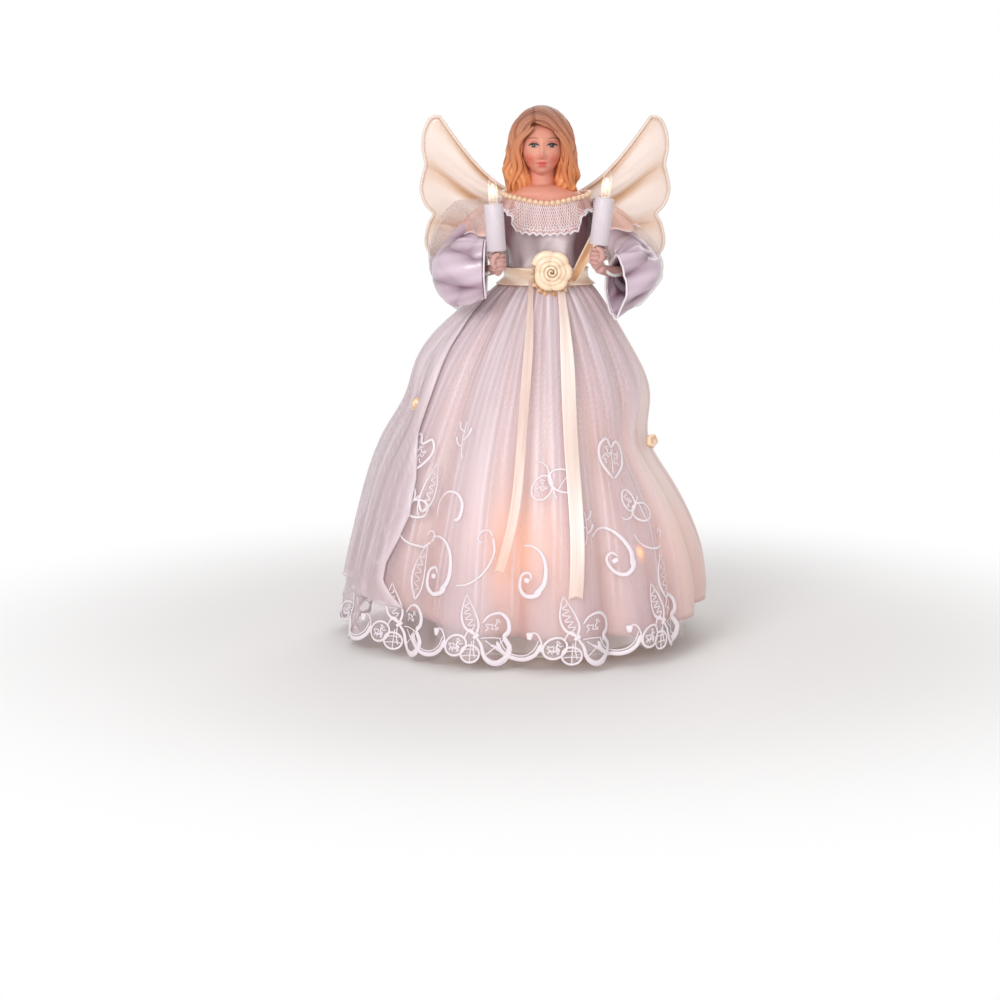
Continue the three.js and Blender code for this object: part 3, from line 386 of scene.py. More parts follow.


# %% [markdown]
# ## Finishes
#
# Satin is woven with long floating threads, which gives a soft shine and a faint line along the warp. Its
# threads are 0.2 mm apart, too fine for the picture, so the weave is drawn at 0.8 mm. The grooves of a fold
# are darker and warmer than its crests, because the light reaches them through the cloth, and that darkening
# is painted into the colour as painted shade. The number called shade, kept with each point of a piece, says
# how deep in a groove the point lies; on some pieces it holds other painted shade and painted highlights
# too.


# %% Satin
def satin(name, crest, groove, glow_colour=None, thread=0.8, roughness=0.36):
    """Woven satin. Colour mixes from crest to groove by shade, with slubs 6 mm long along the threads.
    The wave texture repeats every 0.314 / scale, which is once for each thread."""
    made, tree = new_material(name)
    place = add_node(tree, "TexCoord")
    slub = cloth_noise(tree, (1 / thread, 1 / 6, 1), 2.0)
    warp = add_node(
        tree, "TexWave", {"Vector": place.outputs["UV"], "Scale": 0.314 / thread, "Distortion": 0.6}
    )
    depth = reckon(tree, "MULTIPLY_ADD", slub, 0.1, mark(tree, "shade"))
    relief = reckon(tree, "ADD", slub, warp.outputs["Fac"])
    sockets = {
        "Base Color": blend(tree, depth, linear(crest), linear(groove)),
        "Roughness": roughness,
        "Specular IOR Level": 0.85,
        "Sheen Weight": 0.2,
        "Sheen Roughness": 0.3,
        "Normal": bumpy(tree, relief, 0.08, 0.2),
    }
    if glow_colour:
        sockets |= {"Emission Strength": mark(tree, "glow"), "Emission Color": linear(glow_colour)}
    principled(tree, sockets)
    return made


lavender_satin = satin("lavender_satin", "#e0cad8", "#785264", roughness=0.26)
# The pink skirt satin gives off orange light where its glow number is set: painted light of the lamps.
skirt_satin = satin("pink_skirt_satin", "#eedad7", "#cfa298", glow_colour="#ffae60", roughness=0.42)
ivory_satin = satin("ivory_ribbon_satin", "#f9e0c2", "#c98c55", roughness=0.3)
wing_satin = satin("wing_satin", "#f6e9e4", "#c59467", roughness=0.26)

# %% [markdown]
# Organza is a thin open weave of stiff shiny yarn. What lies behind it shows through a milky veil, and the
# veil is denser where the cloth turns edge-on or lies double. The number called veil holds that density; on
# the overskirt it also holds a painted highlight, denser and whiter on the crests of the folds.
# The yarns are drawn at 1.1 mm, coarser than the real 0.15 mm, so that the streaks show.


# %% Organza
def organza(name, colour, edge_colour, thread=1.1, glow=0.0):
    """Sheer cloth: opacity is the veil number, made stronger and weaker by yarn streaks along the cloth.
    Glow is warm light of the candles that the cloth scatters."""
    made, tree = new_material(name)
    veil = mark(tree, "veil")
    streak = cloth_noise(tree, (1 / thread, 1 / 90, 1), 3.0)
    spread = add_node(
        tree,
        "MapRange",
        {"Value": streak, "From Min": 0.3, "From Max": 0.7, "To Min": 0.9, "To Max": 1.1},
    )
    sockets = {
        "Base Color": blend(tree, veil, linear(edge_colour), linear(colour)),
        "Roughness": 0.34,
        "Specular IOR Level": 0.7,
        "Alpha": reckon(tree, "MULTIPLY", veil, spread.outputs[0], clamp=True),
        "Emission Color": linear("#ffae80"),
        "Emission Strength": glow,
        "Normal": bumpy(tree, streak, 0.1, 0.2),
    }
    principled(tree, sockets)
    return made


skirt_organza = organza("white_organza", "#efe2e8", "#e8d0d6")
sleeve_organza = organza("sleeve_organza", "#f2e6e6", "#e3cdc6")
# The ruffle's peach tint is partly its own colour and partly painted candlelight, and its glow is painted
# candlelight.
ruffle_organza = organza("candlelit_peach_ruffle_organza", "#fbe3df", "#f0bda8", glow=0.14)

# %% [markdown]
# Rayon embroidery thread is laid in tight parallel stitches, so a stitched line is a small rounded cord
# that shines along its length and shows a fine diagonal grain.


# %% Plain finishes: thread, plastics, card, wadding and pearls
def plain(name, colour, roughness, grain=0.0, grain_size=1.0, **sockets):
    """A solid finish with a fine grain: noise of grain_size mm moves the surface by grain mm and darkens
    the colour to 88% at most."""
    made, tree = new_material(name)
    place = add_node(tree, "TexCoord")
    noise = add_node(
        tree, "TexNoise", {"Vector": place.outputs["Object"], "Scale": 1 / (grain_size * MM), "Detail": 3.0}
    ).outputs["Fac"]
    dark = tuple(0.88 * np.array(linear(colour)[:3])) + (1.0,)
    tone, normal = blend(tree, noise, linear(colour), dark), bumpy(tree, noise, 0.5, grain)
    principled(tree, {"Base Color": tone, "Roughness": roughness, "Normal": normal, **sockets})
    return made


rayon_thread = plain("rayon_embroidery_thread", "#f4e9ef", 0.42, 0.05, 0.5, **{"Sheen Weight": 0.3})
candle_plastic = plain("white_moulded_plastic", "#ddd0d7", 0.36, 0.006, 3.0)
holder_plastic = plain("lamp_holder_plastic", "#f2f1ea", 0.45, 0.01, 2.0)
wire_cover = plain("white_wire_insulation", "#f1efe8", 0.4, 0.01, 1.0)
cone_plastic = plain("milky_cone_sheet", "#efece4", 0.35, 0.03, 4.0)
white_card = plain("white_card", "#efe8dc", 0.9, 0.03, 0.8)
wadding = plain("cotton_wadding", "#eae2d8", 0.95, 0.12, 1.2)
pearl_lustre = plain(
    "pearl_lustre", "#f0cba6", 0.12, 0.004, 1.0, **{"Coat Weight": 0.6, "Sheen Weight": 0.3}
)

# %% [markdown]
# ## The body under the cloth
#
# The torso is an oval that changes with height. The skirts hang from it on a bell shape: an oval at the
# waist, a wider one at the hem, and a curve between them that flares quickly at first. Folds are a wave
# round the bell. Cloth that is gathered at its top bulges outwards between pinched creases, so the wave's
# crests are broad and its valleys narrow.

# %% Torso and bell
torso_levels = [0, 0.14, 0.39, 0.62, 0.83, 0.93, 1]
torso_widths = [0.85, 0.87, 0.92, 0.98, 1, 0.97, 0.91]
torso_depths = [0.79, 0.8, 0.9, 1, 0.93, 0.87, 0.8]
shoulder_half, chest_half = 24.5, 19.0
torso_height = 48.0
fold_count = 12
hem_left, hem_right, hem_front, hem_back = 115.0, 96.0, 98.0, 98.0
rosette_angles, rosette_heights = np.radians([201.0, -13.0]), np.array([136.0, 115.0])


def torso_half(z, extra=0.0):
    """The half width and half depth of the torso's oval at height z, each with extra added."""
    share = (np.asarray(z, float) - torso_bottom) / torso_height
    width = np.interp(share, torso_levels, torso_widths)
    depth = np.interp(share, torso_levels, torso_depths)
    return shoulder_half * width + extra, chest_half * depth + extra


def oval(half_x, half_y, turn):
    """From an oval's middle to its edge along an angle: 1 / sqrt((cos/half_x)^2 + (sin/half_y)^2)."""
    return 1 / np.sqrt((np.cos(turn) / half_x) ** 2 + (np.sin(turn) / half_y) ** 2)


def drop_of(z):
    """How far down the skirt a height lies: 0 at the waist, 1 at the floor."""
    return np.clip((skirt_top - z) / skirt_top, 0, 1)


def flare_of(z):
    """How far the skirt has spread from its waist to its hem at a height: 1 - (1 - drop^0.85)^1.6."""
    return 1 - (1 - drop_of(z) ** 0.85) ** 1.6


def bell(turn, z):
    """The skirt's radius without folds: mix(waist oval, hem oval, flare)."""
    waist = oval(*torso_half(skirt_top, 3.8), turn)
    sideways = np.where(np.cos(turn) < 0, hem_left, hem_right)
    lengthways = np.where(np.sin(turn) < 0, hem_front, hem_back)
    return mix(waist, oval(sideways, lengthways, turn), flare_of(z))


def fold_depth(turn, z):
    """Half the height of the folds: 4.2% of the radius at the hem, with a square root fade to the waist."""
    return 0.042 * np.sqrt(drop_of(z)) * bell(turn, z)


def crease(turn, z, count=fold_count, slant=0.0):
    """A fold wave from -1 to 1 with broad crests: 2 (cos^2(x/2) + 0.012)^0.36 - 1 for x = count * turn."""
    wandering = turn + 0.12 * np.sin(2 * turn + 1) + slant * (z - skirt_top) / skirt_top
    return 2 * (np.cos(count * wandering / 2) ** 2 / 1.012 + 0.012) ** 0.36 - 1.006


def swag(turn, z):
    """The organza puffs out 5 mm above each rosette: exp(-(angle/14 deg)^2 - (height/26 mm)^2)."""
    beside = np.angle(np.exp(1j * (np.asarray(turn)[..., None] - rosette_angles))) / np.radians(14)
    above = (np.asarray(z)[..., None] - rosette_heights - 26) / 26
    return 5 * np.exp(-(beside**2) - above**2).max(-1)


def gathers(turn, z):
    """Gathers below the waist seam that run out 90 mm down, and folds of the second order to the hem."""
    fine = 0.8 * smoothstep(90, 0, skirt_top - z) * (crease(turn, z, 31) - 0.6)
    return fine + 1.5 * drop_of(z) * (crease(turn + 0.3, z, 19, 0.2) - 0.7)


def caught_in(turn, z):
    """The right side is caught in by its rosette: 11 mm of exp(-(height/24)^2), where cos(turn) > 0.2."""
    return 11 * smoothstep(0.2, 0.8, np.cos(turn)) * hump(z, 114, 24)


def overskirt_radius(turn, z):
    """The overskirt's outside: the bell with its folds, gathers and swags, caught in at the right."""
    turn, z = np.broadcast_arrays(turn, z)
    folds = fold_depth(turn, z) * (1.25 * crease(turn, z) - 0.25)
    return bell(turn, z) + folds + swag(turn, z) + gathers(turn, z) - 0.8 - caught_in(turn, z)


def on_overskirt(turn, z):
    """The point on the overskirt's outside at an angle and a height."""
    return polar(overskirt_radius(turn, z), turn, z)


def skirt_crest(turn, z):
    """A smooth surface that touches the crests of the overskirt's folds."""
    turn, z = np.broadcast_arrays(turn, z)
    return bell(turn, z) + fold_depth(turn, z) + swag(turn, z)


# %% [markdown]
# ## The glow of the lamps
#
# Eight clear miniature lamps burn under the skirts. Each one colours a round patch of cloth in front of it
# a warm peach, and where a lamp almost touches the cloth a small bright point shows. The number called glow
# adds up those patches, 27 mm wide for each lamp, and the one bright point at the front right.

# %% Lamp positions and their glow
lamp_names = [f"lamp_bulb_{i}" for i in range(1, 9)]
lamp_boxes = [box_of(name) for name in lamp_names]
lamps = np.array([(low + high) / 2 for low, high in lamp_boxes])
lamp_outwards = unit(lamps * [1, 1, 0])
front_lamp = np.abs(np.degrees(np.arctan2(lamps[:, 1], lamps[:, 0])) + 102) < 5
bright_turn, bright_height, bright_radius = np.radians(306.8 - 360), 58.7, 84
print("lamps at", lamps.round().tolist())


def glow_at(points, wide=27.0):
    """The sum over the lamps of strength * exp(-(distance / wide)^2), and one bright point where the cloth
    touches a lamp. The front lamp is nearest to the cloth and glows most."""
    strength = np.where(front_lamp, 0.46, 0.09)
    distance = np.linalg.norm(points[..., None, :] - lamps - 17 * lamp_outwards - [0, 0, 8], axis=-1)
    beside = bright_radius * (np.arctan2(points[..., 1], points[..., 0]) - bright_turn)
    near = np.hypot(beside, points[..., 2] - bright_height)
    return (strength * hump(distance, 0, wide)).sum(-1) + 4 * hump(near, 0, 1.7)


# %% [markdown]
# ## The underskirt
#
# A plain satin cone of cloth, cut 7 mm inside the overskirt, hangs from the same waist seam. It hides the
# plastic cone and spreads the light of the lamps. Its hem is 15 mm higher at the left, where the photograph
# shows it caught up, and 8 mm at the right.

# %% Underskirt
under_steps, under_rows = 384, 48
turn = full_turn(under_steps)
hem_at = 16 + 15 * np.maximum(0, -np.cos(turn)) ** 2 + 8 * np.maximum(0, np.cos(turn)) ** 6
share = np.linspace(0, 1, under_rows)[:, None]
z = mix(skirt_top, hem_at, share)
flare = flare_of(z)
ripple = crease(turn, z, count=17, slant=0.25)
radius = overskirt_radius(turn, z) - 1.6 - 5.5 * flare + 0.8 * flare * (ripple - 1)
radius = radius + 5 * smoothstep(0.75, 1, np.cos(turn)) * smoothstep(90, 45, z) * smoothstep(5, 40, z)
points = polar(radius, turn, z)
glow = glow_at(points)
# The shade number is painted shade: in the grooves of the folds, in the gathers under the waist and more
# towards the hem. Where the lamps glow the cloth turns to the warmer groove colour, and the glow itself is
# painted light that the cloth emits.
waist_shade = 0.4 * smoothstep(70, 5, skirt_top - z) * (0.5 - 0.5 * crease(turn, z, 31)) ** 0.7
underskirt = surface(
    "underskirt_satin",
    points,
    wrap=True,
    weave=(540, 200),
    shade=0.6 * (0.5 - 0.5 * ripple) ** 1.3 + waist_shade + 0.5 * smoothstep(110, 20, z) + 0.9 * glow,
    glow=glow,
)
finish_piece(underskirt, "figure", skirt_satin, ["underskirt"], thickness=0.8)
print("underskirt hem from", hem_at.min(), "to", hem_at.max(), "mm")

# %% [markdown]
# ## The overskirt
#
# The overskirt is organza with a machine embroidered border that repeats along the hem. A unit is a
# U-shaped scallop and a butterfly of three lobes, and the cloth is cut away outside their outline with a
# hot knife. In the photograph the units are not all equally wide, because the folds hide some of the cloth,
# so each unit's angle is set here. The skirt is open at the right. The gap between the two edges of the
# organza is 44 degrees wide at the waist and 99 at the hem, and the underskirt shows in it.

# %% Hem of the overskirt
unit_width = 54.0
scallop_angles = np.array([-333.0, -306, -276, -246, -217, -188, -158.5, -129, -100, -66.5, -36.5, -8])
hem_line = 3.6
lobes = np.array([[0.0, 14, 13.5, 12.5], [18.5, 10, 7, 6.3], [27.6, 6, 5.6, 5.2], [41.3, 10, 8.2, 10.2]])


def unit_of(turn):
    """How many border units lie before an angle: 0 at the first scallop's middle, 1 at the next."""
    return np.interp(np.degrees(turn), scallop_angles, np.arange(len(scallop_angles)))


def hem_base(turn):
    """The line that the border stands on. It rises 9 mm to the right: 3.6 + 9 max(0, cos)^2."""
    return hem_line + 9 * np.maximum(0, np.cos(turn)) ** 2


def hem_cut(along):
    """The cut edge above the line, at a place along the border in mm: the lowest of the lobes' arcs."""
    place = np.mod(along, unit_width)[..., None]
    beside = np.stack([place - lobes[:, 0] - shift for shift in (0, unit_width)], -1)
    share = np.clip(np.abs(beside) / lobes[:, 2:3], 0, 1)
    arc = lobes[:, 1:2] - lobes[:, 3:4] * np.sqrt(1 - share**2)
    return np.where(share < 1, arc, 9.0).min((-2, -1))


over_steps, over_rows = 720, 66
hem_start, hem_end = -37, -298
column = np.linspace(0, 1, over_steps + 1)
share = (np.linspace(0, 1, over_rows) ** 0.9)[:, None]
right_edge = -8 - 29 * smoothstep(0, 0.5, share)
turn = np.radians(mix(right_edge, mix(-324, hem_end, share), column))
hem_turn = np.radians(mix(hem_start, hem_end, column))
cut = hem_base(hem_turn) + np.clip(hem_cut(unit_width * unit_of(hem_turn)), 0, 9)
z = mix(skirt_top, cut, share)
points = on_overskirt(turn, z)
drop = drop_of(z)
big, small = crease(turn, z), crease(turn + 0.3, z, 19, 0.2)
# Painted highlight: the veil is denser, so the cloth whiter, on the crests of the folds, varied in broad
# patches.
crests = 0.6 * smoothstep(-0.3, 1, big) * smoothstep(-0.8, 0.9, small)
patches = 0.5 + 0.5 * np.sin(3.1 * turn + 0.8) * np.sin(5.3 * turn - 0.01 * z)
line_number = np.arange(34)
line_turns = np.radians(-40 - 7.6 * (line_number + 0.42 * np.sin(12.9 * line_number)))
line_ends = 0.45 + 0.5 * np.abs(np.sin(7.7 * line_number))
doubled = 0 * z
for at, end in zip(line_turns, line_ends):
    middle = at + (0.02 * np.sin(z / 31 + 9 * at) - 0.05 * np.cos(at)) * drop
    away = (turn - middle) * bell(turn, z)
    pair = hump(away, 0, 0.8) + 0.6 * hump(away, 3.5, 0.6)
    doubled = doubled + pair * smoothstep(end, end - 0.2, drop)
puffed = hump(z, 140, 26) * smoothstep(0.72, 0.95, np.cos(turn))
dense = 0.13 + (0.30 + 0.22 * patches) * crests + 0.3 * doubled + 0.16 * smoothstep(0.5, 0, drop)
dense = dense * mix(1, 0.72, smoothstep(0.82, 0.95, drop)) + 0.3 * puffed
overskirt = surface("overskirt_organza", points, weave=(720, 205), veil=dense)
finish_piece(overskirt, "figure", skirt_organza, ["overskirt"], thickness=0.3)
print(f"overskirt: {over_steps} columns, hem from {cut.min():.1f} to {cut.max():.1f} mm")

# %% [markdown]
# A second width of organza hangs over the left side. It is caught up by the left rosette, and its front
# edge runs down to the hem as a clear line in the photograph, where the cloth lies double.

# %% Left drape
drape_levels = np.array([196.0, 176.6, 149.8, 136, 123, 96.9, 78.3, 62.8, 50.9, 41.6, 34.3, 27])
drape_edges = np.radians(
    [200.0, 205.2, 207.7, 208.3, 209.2, 214.7, 216.1, 214.2, 212.1, 212.2, 215.5, 219.5]
)
drape_rows, drape_steps = 90, 80
share = np.linspace(0, 1, drape_rows)[:, None]
column = np.linspace(0, 1, drape_steps)
z = mix(drape_levels[0], drape_levels[-1] + 6 * np.sin(3 * column), share)
front = np.interp(-z[:, :1], -drape_levels, drape_edges)
turn = mix(np.radians(138), front, column)
pleat = hump(z, rosette_heights[0], 30)
puckers = (0.8 + 0.9 * pleat) * np.cos(22 * turn + 0.02 * z) + 1.2 * np.cos(60 * turn) * pleat
streaks = np.cos(22 * turn) ** 6 * (0.5 + 0.5 * np.cos(9 * turn + 1)) + 0.6 * np.cos(47 * turn) ** 12
puff = 10 * hump(z, 168, 26) + 5 * hump(z, 110, 40) - 2.5 * pleat**4
radius = overskirt_radius(turn, z) + 1.7 + puckers * 0.6 + puff * smoothstep(1.0, 0.72, column)
points = polar(radius, turn, z)
drape = surface(
    "left_drape_organza",
    points,
    weave=(120, 170),
    veil=0.36 + 0.3 * smoothstep(0.95, 0.99, column) + 0.3 * streaks * smoothstep(30, 60, z),
)
finish_piece(drape, "figure", skirt_organza, thickness=0.3)

# %% [markdown]
# ## Embroidery
#
# The pattern is drawn flat, in millimetres along and above the hem line, and then laid on the folded skirt.
# Every stitched line is a low cord whose width changes along it: satin stitch where it is wide, a running
# stitch where it is thin. The lines taper to a point at both ends, which also closes them.


# %% Functions for stitching
stitch_steps = 36


def smooth_path(knots, steps=stitch_steps, closed=False):
    """A Catmull-Rom curve through the knots with evenly spaced points:
    p = (2b + (c-a)t + (2a-5b+4c-d)t^2 + (3b-a-3c+d)t^3) / 2 between b and c."""
    knots = np.array(knots, float)
    if closed:
        ends = knots[-1:], knots, knots[:2]
    else:
        ends = 2 * knots[:1] - knots[1:2], knots, 2 * knots[-1:] - knots[-2:-1]
    k = np.concatenate(ends)
    a, b, c, d = (k[i : len(k) - 3 + i, None] for i in range(4))
    t = (np.arange(12) / 12)[:, None]
    fine = (2 * b + (c - a) * t + (2 * a - 5 * b + 4 * c - d) * t**2 + (3 * b - a - 3 * c + d) * t**3) / 2
    fine = np.concatenate([fine.reshape(-1, knots.shape[1]), k[-2:-1]])
    run = np.r_[0, np.cumsum(np.linalg.norm(np.diff(fine, axis=0), axis=1))]
    at = np.linspace(0, run[-1], steps)
    return np.stack([np.interp(at, run, column) for column in fine.T], -1)


def leftward(line):
    """The direction to the left of a flat line, at each of its points."""
    ahead = unit(np.gradient(line, axis=0))
    return points_of(-ahead[:, 1], ahead[:, 0])


def stitch(knots, wide=1.0, ends=(1.0, 1.0), closed=False, wave=0.0, waves=8, raised=0.45):
    """Remembers one stitched line: its points (mm along, mm up), half width and height at each point.
    wave moves it sideways as sin(2 pi waves s). ends are the widths at its two ends, as shares of wide."""
    line = smooth_path(knots, closed=closed)
    share = np.linspace(0, 1, stitch_steps)
    if wave:
        swing = wave * np.sin(2 * np.pi * waves * share) * np.sin(np.pi * share) ** 0.3
        line = line + swing[:, None] * leftward(line)
    width = wide / 2 * mix(ends[0], ends[1], share)
    if not closed:
        width = width * np.minimum(1, 8 * np.sin(np.pi * share) + 0.02)
        width[[0, -1]] = 0.01
    return np.concatenate([line, width[:, None], np.full((stitch_steps, 1), raised)], 1)


def moved(lines, place=(0, 0), turn=0.0, size=1.0, flip=False):
    """Copies of lines, made smaller or larger, mirrored, turned by degrees and put at a place."""
    c, s = np.cos(np.radians(turn)), np.sin(np.radians(turn))
    out = []
    for line in lines:
        xy = line[:, :2] * [-size if flip else size, size]
        xy = xy @ np.array([[c, s], [-s, c]]) + place
        out.append(np.concatenate([xy, line[:, 2:]], 1))
    return out


def oval_line(place, half, tilt=0.0, wide=1.0):
    """An oval outline with half sizes, tilted by degrees."""
    turn = np.linspace(0, 2 * np.pi, 12, endpoint=False)
    ring = points_of(half[0] * np.cos(turn), half[1] * np.sin(turn))
    return moved([stitch(ring, wide, closed=True)], place, tilt)[0]


# %% Motifs of the pattern
squiggle = stitch([(-4.6, -1.6), (-2, 2.6), (0.4, -2.4), (2.2, 2.2), (4.6, 0.6)], 0.75, wave=0.9, waves=6)
scroll = [
    stitch([(-5.4, 10.6), (-1, 10.8), (2.6, 8.6), (4.6, 4), (4.4, -2.5), (1.2, -7.2)], 3.9, (0.2, 0.85)),
    stitch(
        [(3.6, -5.0), (1.4, -7.3), (-2.4, -7.8), (-4.8, -5), (-4.4, -0.4), (-1.4, 0.8), (-0.4, -1.6)],
        2.3,
        (1.3, 0.5),
    ),
    stitch([(-3.2, -2.2), (-2.2, -2.0), (-1.2, -2.3)], 3.6, (0.8, 0.8)),
]
leaf = [
    stitch([(0, 0), (-4.4, 6), (-4.4, 13), (-0.6, 20), (2.6, 24)], 1.2, (1.6, 0.5)),
    stitch([(0, 0), (3.4, 5), (4.0, 12), (3.4, 18), (2.6, 24)], 1.0, (1.6, 0.5)),
    stitch([(0, 2.5), (-0.6, 8), (-0.4, 14), (1.6, 20)], 0.7, wave=2.1, waves=5),
]
heart = [
    stitch(
        [(0, -8), (-5.6, -2), (-6.6, 4), (-3, 7.6), (0, 4.4), (3.4, 7.4), (6.6, 3.4), (5, -3), (0, -8)], 1.6
    ),
    moved([squiggle], (-2.4, 1.4), 70, 0.75)[0],
    moved([squiggle], (2.4, 1.0), 105, 0.75)[0],
    stitch([(0, 4), (0, 0), (0, -6)], 0.8),
]
sprig = [
    stitch([(0, -9), (0.8, -3), (0, 3), (-1.2, 9)], 0.8),
    stitch([(0.6, -3), (3.2, -1), (4.6, 2.4)], 1.8, (0.4, 0.9)),
    stitch([(0.2, 0), (-2.8, 2), (-4.4, 5.2)], 1.8, (0.4, 0.9)),
    stitch([(-0.2, 4), (2.4, 6.2), (3.2, 9.4)], 1.8, (0.4, 0.9)),
]
arch = [stitch([(-8, -6), (-8.6, 2), (-4, 8), (3, 8.4), (8, 3.6), (8, -4), (4.6, -6.4)], 2.0, (0.3, 1.2))]
hook = [
    stitch([(4, 10), (5, 4), (2, -3), (-3, -7.4), (-8, -8.4)], 3.0, (0.5, 0.3)),
    stitch([(4, 10), (2.4, 12.4), (-0.4, 12), (-1.2, 9.2), (0.6, 7.6)], 1.1, (1, 0.7)),
]
butterfly = [
    oval_line((0, 0), (5.4, 4), 40, 1.1),
    moved([squiggle], (0, 0), 40, 0.8)[0],
    *moved([oval_line((0, 0), (6.4, 4.6), -32, 1.3)], (9.6, 0.4)),
    stitch([(5.6, -3.2), (10, 0.6), (14, 2.6)], 0.7),
    stitch([(4.2, 3.4), (4.6, 7), (2.6, 10), (0, 10.4)], 1.3, (1, 0.4)),
    stitch([(4.6, -6), (4.4, 0), (4.8, 5)], 1.6, (0.5, 1)),
]


# %% The border unit
def border_unit():
    """One unit of the border: scallop band, dot and curl, three lobes with their fillings, arch and leaf."""
    u = np.linspace(-13.2, 13.2, 12)
    lift = 14 - 12.5 * np.sqrt(1 - (u / 13.5) ** 2) + 1.4
    band = stitch(points_of(u * 0.96, lift), 3.4, (0.7, 0.7), raised=0.6)
    inner = stitch(points_of(u * 0.86, lift + 1.9), 0.8, raised=0.8)
    u2 = np.linspace(-0.1, -np.pi * 0.98, 10)
    big = points_of(41.3 + 7.3 * np.cos(u2), 10 + 9.1 * np.sin(u2))
    knot = (30.5, 15.5)
    lines = [
        band,
        inner,
        stitch([(12.4, 8), (12.6, 13), (10.6, 17.4), (7.4, 18.4)], 1.3, (1, 0.7)),
        stitch([(5.2, 15.8), (6.6, 16.2), (8, 15.8)], 5.4, (0.8, 0.8), raised=0.7),
        oval_line((19.4, 10.4), (6.4, 5.2), 32, 1.3),
        moved([squiggle], (19.4, 10.4), 28, 0.95)[0],
        moved([squiggle], (20.4, 9.2), 48, 0.8, flip=True)[0],
        oval_line((27.6, 6.2), (5.0, 4.6), 0, 1.2),
        stitch([(27.6, 1.8), (27.8, 6), (28.4, 13)], 0.7),
        stitch([(23.0, 4.9), (27.6, 5.6), (32.2, 5.2)], 0.6),
        stitch([(23.6, 8.2), (27.6, 8.8), (31.8, 8.4)], 0.6),
        stitch([knot, (33.4, 11), *big[::-1][1:8]], 3.2, (0.4, 1.25), raised=0.6),
        stitch([*big[::-1][5:], (46.6, 12.4), (44.6, 14.6)], 3.2, (1.2, 0.8), raised=0.6),
        stitch(
            [(44.4, 14.4), (48, 18), (47.4, 23.6), (42.8, 27.4), (37, 26.4), (33.4, 22.4)], 2.4, (1.2, 0.4)
        ),
        stitch([(35.2, 13.6), (40, 9.6), (46, 4.4)], 0.7),
        stitch([(45.6, 13.4), (41, 9.8), (35.6, 5.4)], 0.7),
        stitch([(38.6, 10.8), (40.6, 9.8), (42.6, 8.6)], 2.2, (0.7, 0.7)),
        stitch([(33, 14.6), (38, 14.8), (44, 14)], 0.7),
        stitch([(29, 14.6), knot, (32, 16.8)], 2.6, (0.8, 0.8), raised=0.8),
        stitch([(29.6, 14), (29.4, 9), (30.4, 4)], 0.8),
        stitch([knot, (27.4, 19), (25.2, 16.6), (24.2, 13.6)], 1.4, (1, 0.6)),
        *moved(leaf, (30.6, 16.5), 24, 0.92),
        *moved([squiggle], (39.6, 20.6), 20, 1.0),
    ]
    return lines


unit_lines = np.array(border_unit())
units = np.arange(len(scallop_angles) - 1)
laid = unit_lines[None] + np.array([1.0, 0, 0, 0]) * (units * unit_width)[:, None, None, None]
laid = laid.reshape(-1, stitch_steps, 4)
unit_turn = np.radians(np.interp(laid[..., 0] / unit_width, np.arange(len(scallop_angles)), scallop_angles))
border = points_of(unit_turn, hem_base(unit_turn) + laid[..., 1], laid[..., 2], laid[..., 3])
print(len(unit_lines), "stitched lines in a unit,", len(border), "in the border")

# %% [markdown]
# Above the border, single motifs are scattered: C-shaped scrolls that end in a curl, leaves, hearts,
# butterflies and sprigs. Their places at the front are read from the photograph as an angle and a height.
# The sides and the back repeat them, because the cloth is made by the metre.

# %% Scattered motifs
front_motifs = [
    (scroll, -127.3, 52, 4, 1.15, False),
    (hook, -113.4, 57, 0, 1.0, False),
    (scroll, -95.2, 51.5, -4, 1.0, False),
    (scroll, -64.9, 62, 34, 1.05, False),
    (hook, -50.0, 66.0, -70, 0.8, False),
    (arch, -127.4, 84.6, 0, 0.7, False),
    (leaf, -141.0, 80, -10, 0.8, True),
    (heart, -59.2, 110, -14, 0.95, False),
    (butterfly, -56.8, 88.3, 140, 0.72, True),
    (butterfly, -92.4, 97, 16, 0.9, False),
    (sprig, -76.5, 76, -6, 0.7, False),
    (sprig, -128, 120, 14, 0.8, True),
    (leaf, -46.0, 34.0, 0, 0.9, False),
]
scattered = []
for step in (0, -90.3, -180.6):
    for motif, angle, height, spin, size, flip in front_motifs:
        if -296 < angle + step:
            turn_at = np.radians(angle + step)
            reach = bell(turn_at, height)
            for line in moved(motif, (0, 0), spin, 1.4 * size, flip):
                at = turn_at + line[:, 0] / reach
                scattered.append(points_of(at, height + line[:, 1], *line[:, 2:].T))
print(len(scattered), "stitched lines above the border")

# %% Lay the stitching on the skirt
after_start = border[..., 0].max(-1) < np.radians(hem_start - 0.2)
inside = after_start & (border[..., 0].min(-1) > np.radians(hem_end + 0.5))
every = np.concatenate([border[inside], np.array(scattered)])
turn, z, half_width, raised = np.moveaxis(every, -1, 0)


def skirt_normal(turn, z):
    """The direction out of the overskirt, from the cross product of its two slopes over half a mm."""
    step = 0.5
    small = step / 90
    around = on_overskirt(turn + small, z) - on_overskirt(turn - small, z)
    upward = on_overskirt(turn, z + step) - on_overskirt(turn, z - step)
    return unit(np.cross(around, upward))


out = skirt_normal(turn, z)
path = on_overskirt(turn, z) + 0.1 * out
ahead = unit(np.gradient(path, axis=-2))
side = unit(np.cross(ahead, out))
thin = np.minimum(half_width / 0.5, 1) * raised
section = circle(8)
points = (
    path[..., None, :]
    + half_width[..., None, None] * side[..., None, :] * section[:, :1]
    + thin[..., None, None] * out[..., None, :] * (0.5 + 0.5 * section[:, 1:])
)
embroidery = surface("skirt_embroidery", points, wrap=True, weave=(2, 40))
finish_piece(embroidery, "figure", rayon_thread)
print("stitching has", len(embroidery.data.polygons), "faces")

# %% [markdown]
# ## Bodice and sash
#
# The bodice is a tube of lavender satin over a stuffed torso. It is pulled tight round the chest, so that
# short creases run up from the sash and down from the neckline. The sash is a ribbon wound over the seam
# between bodice and skirts, with soft folds along it.

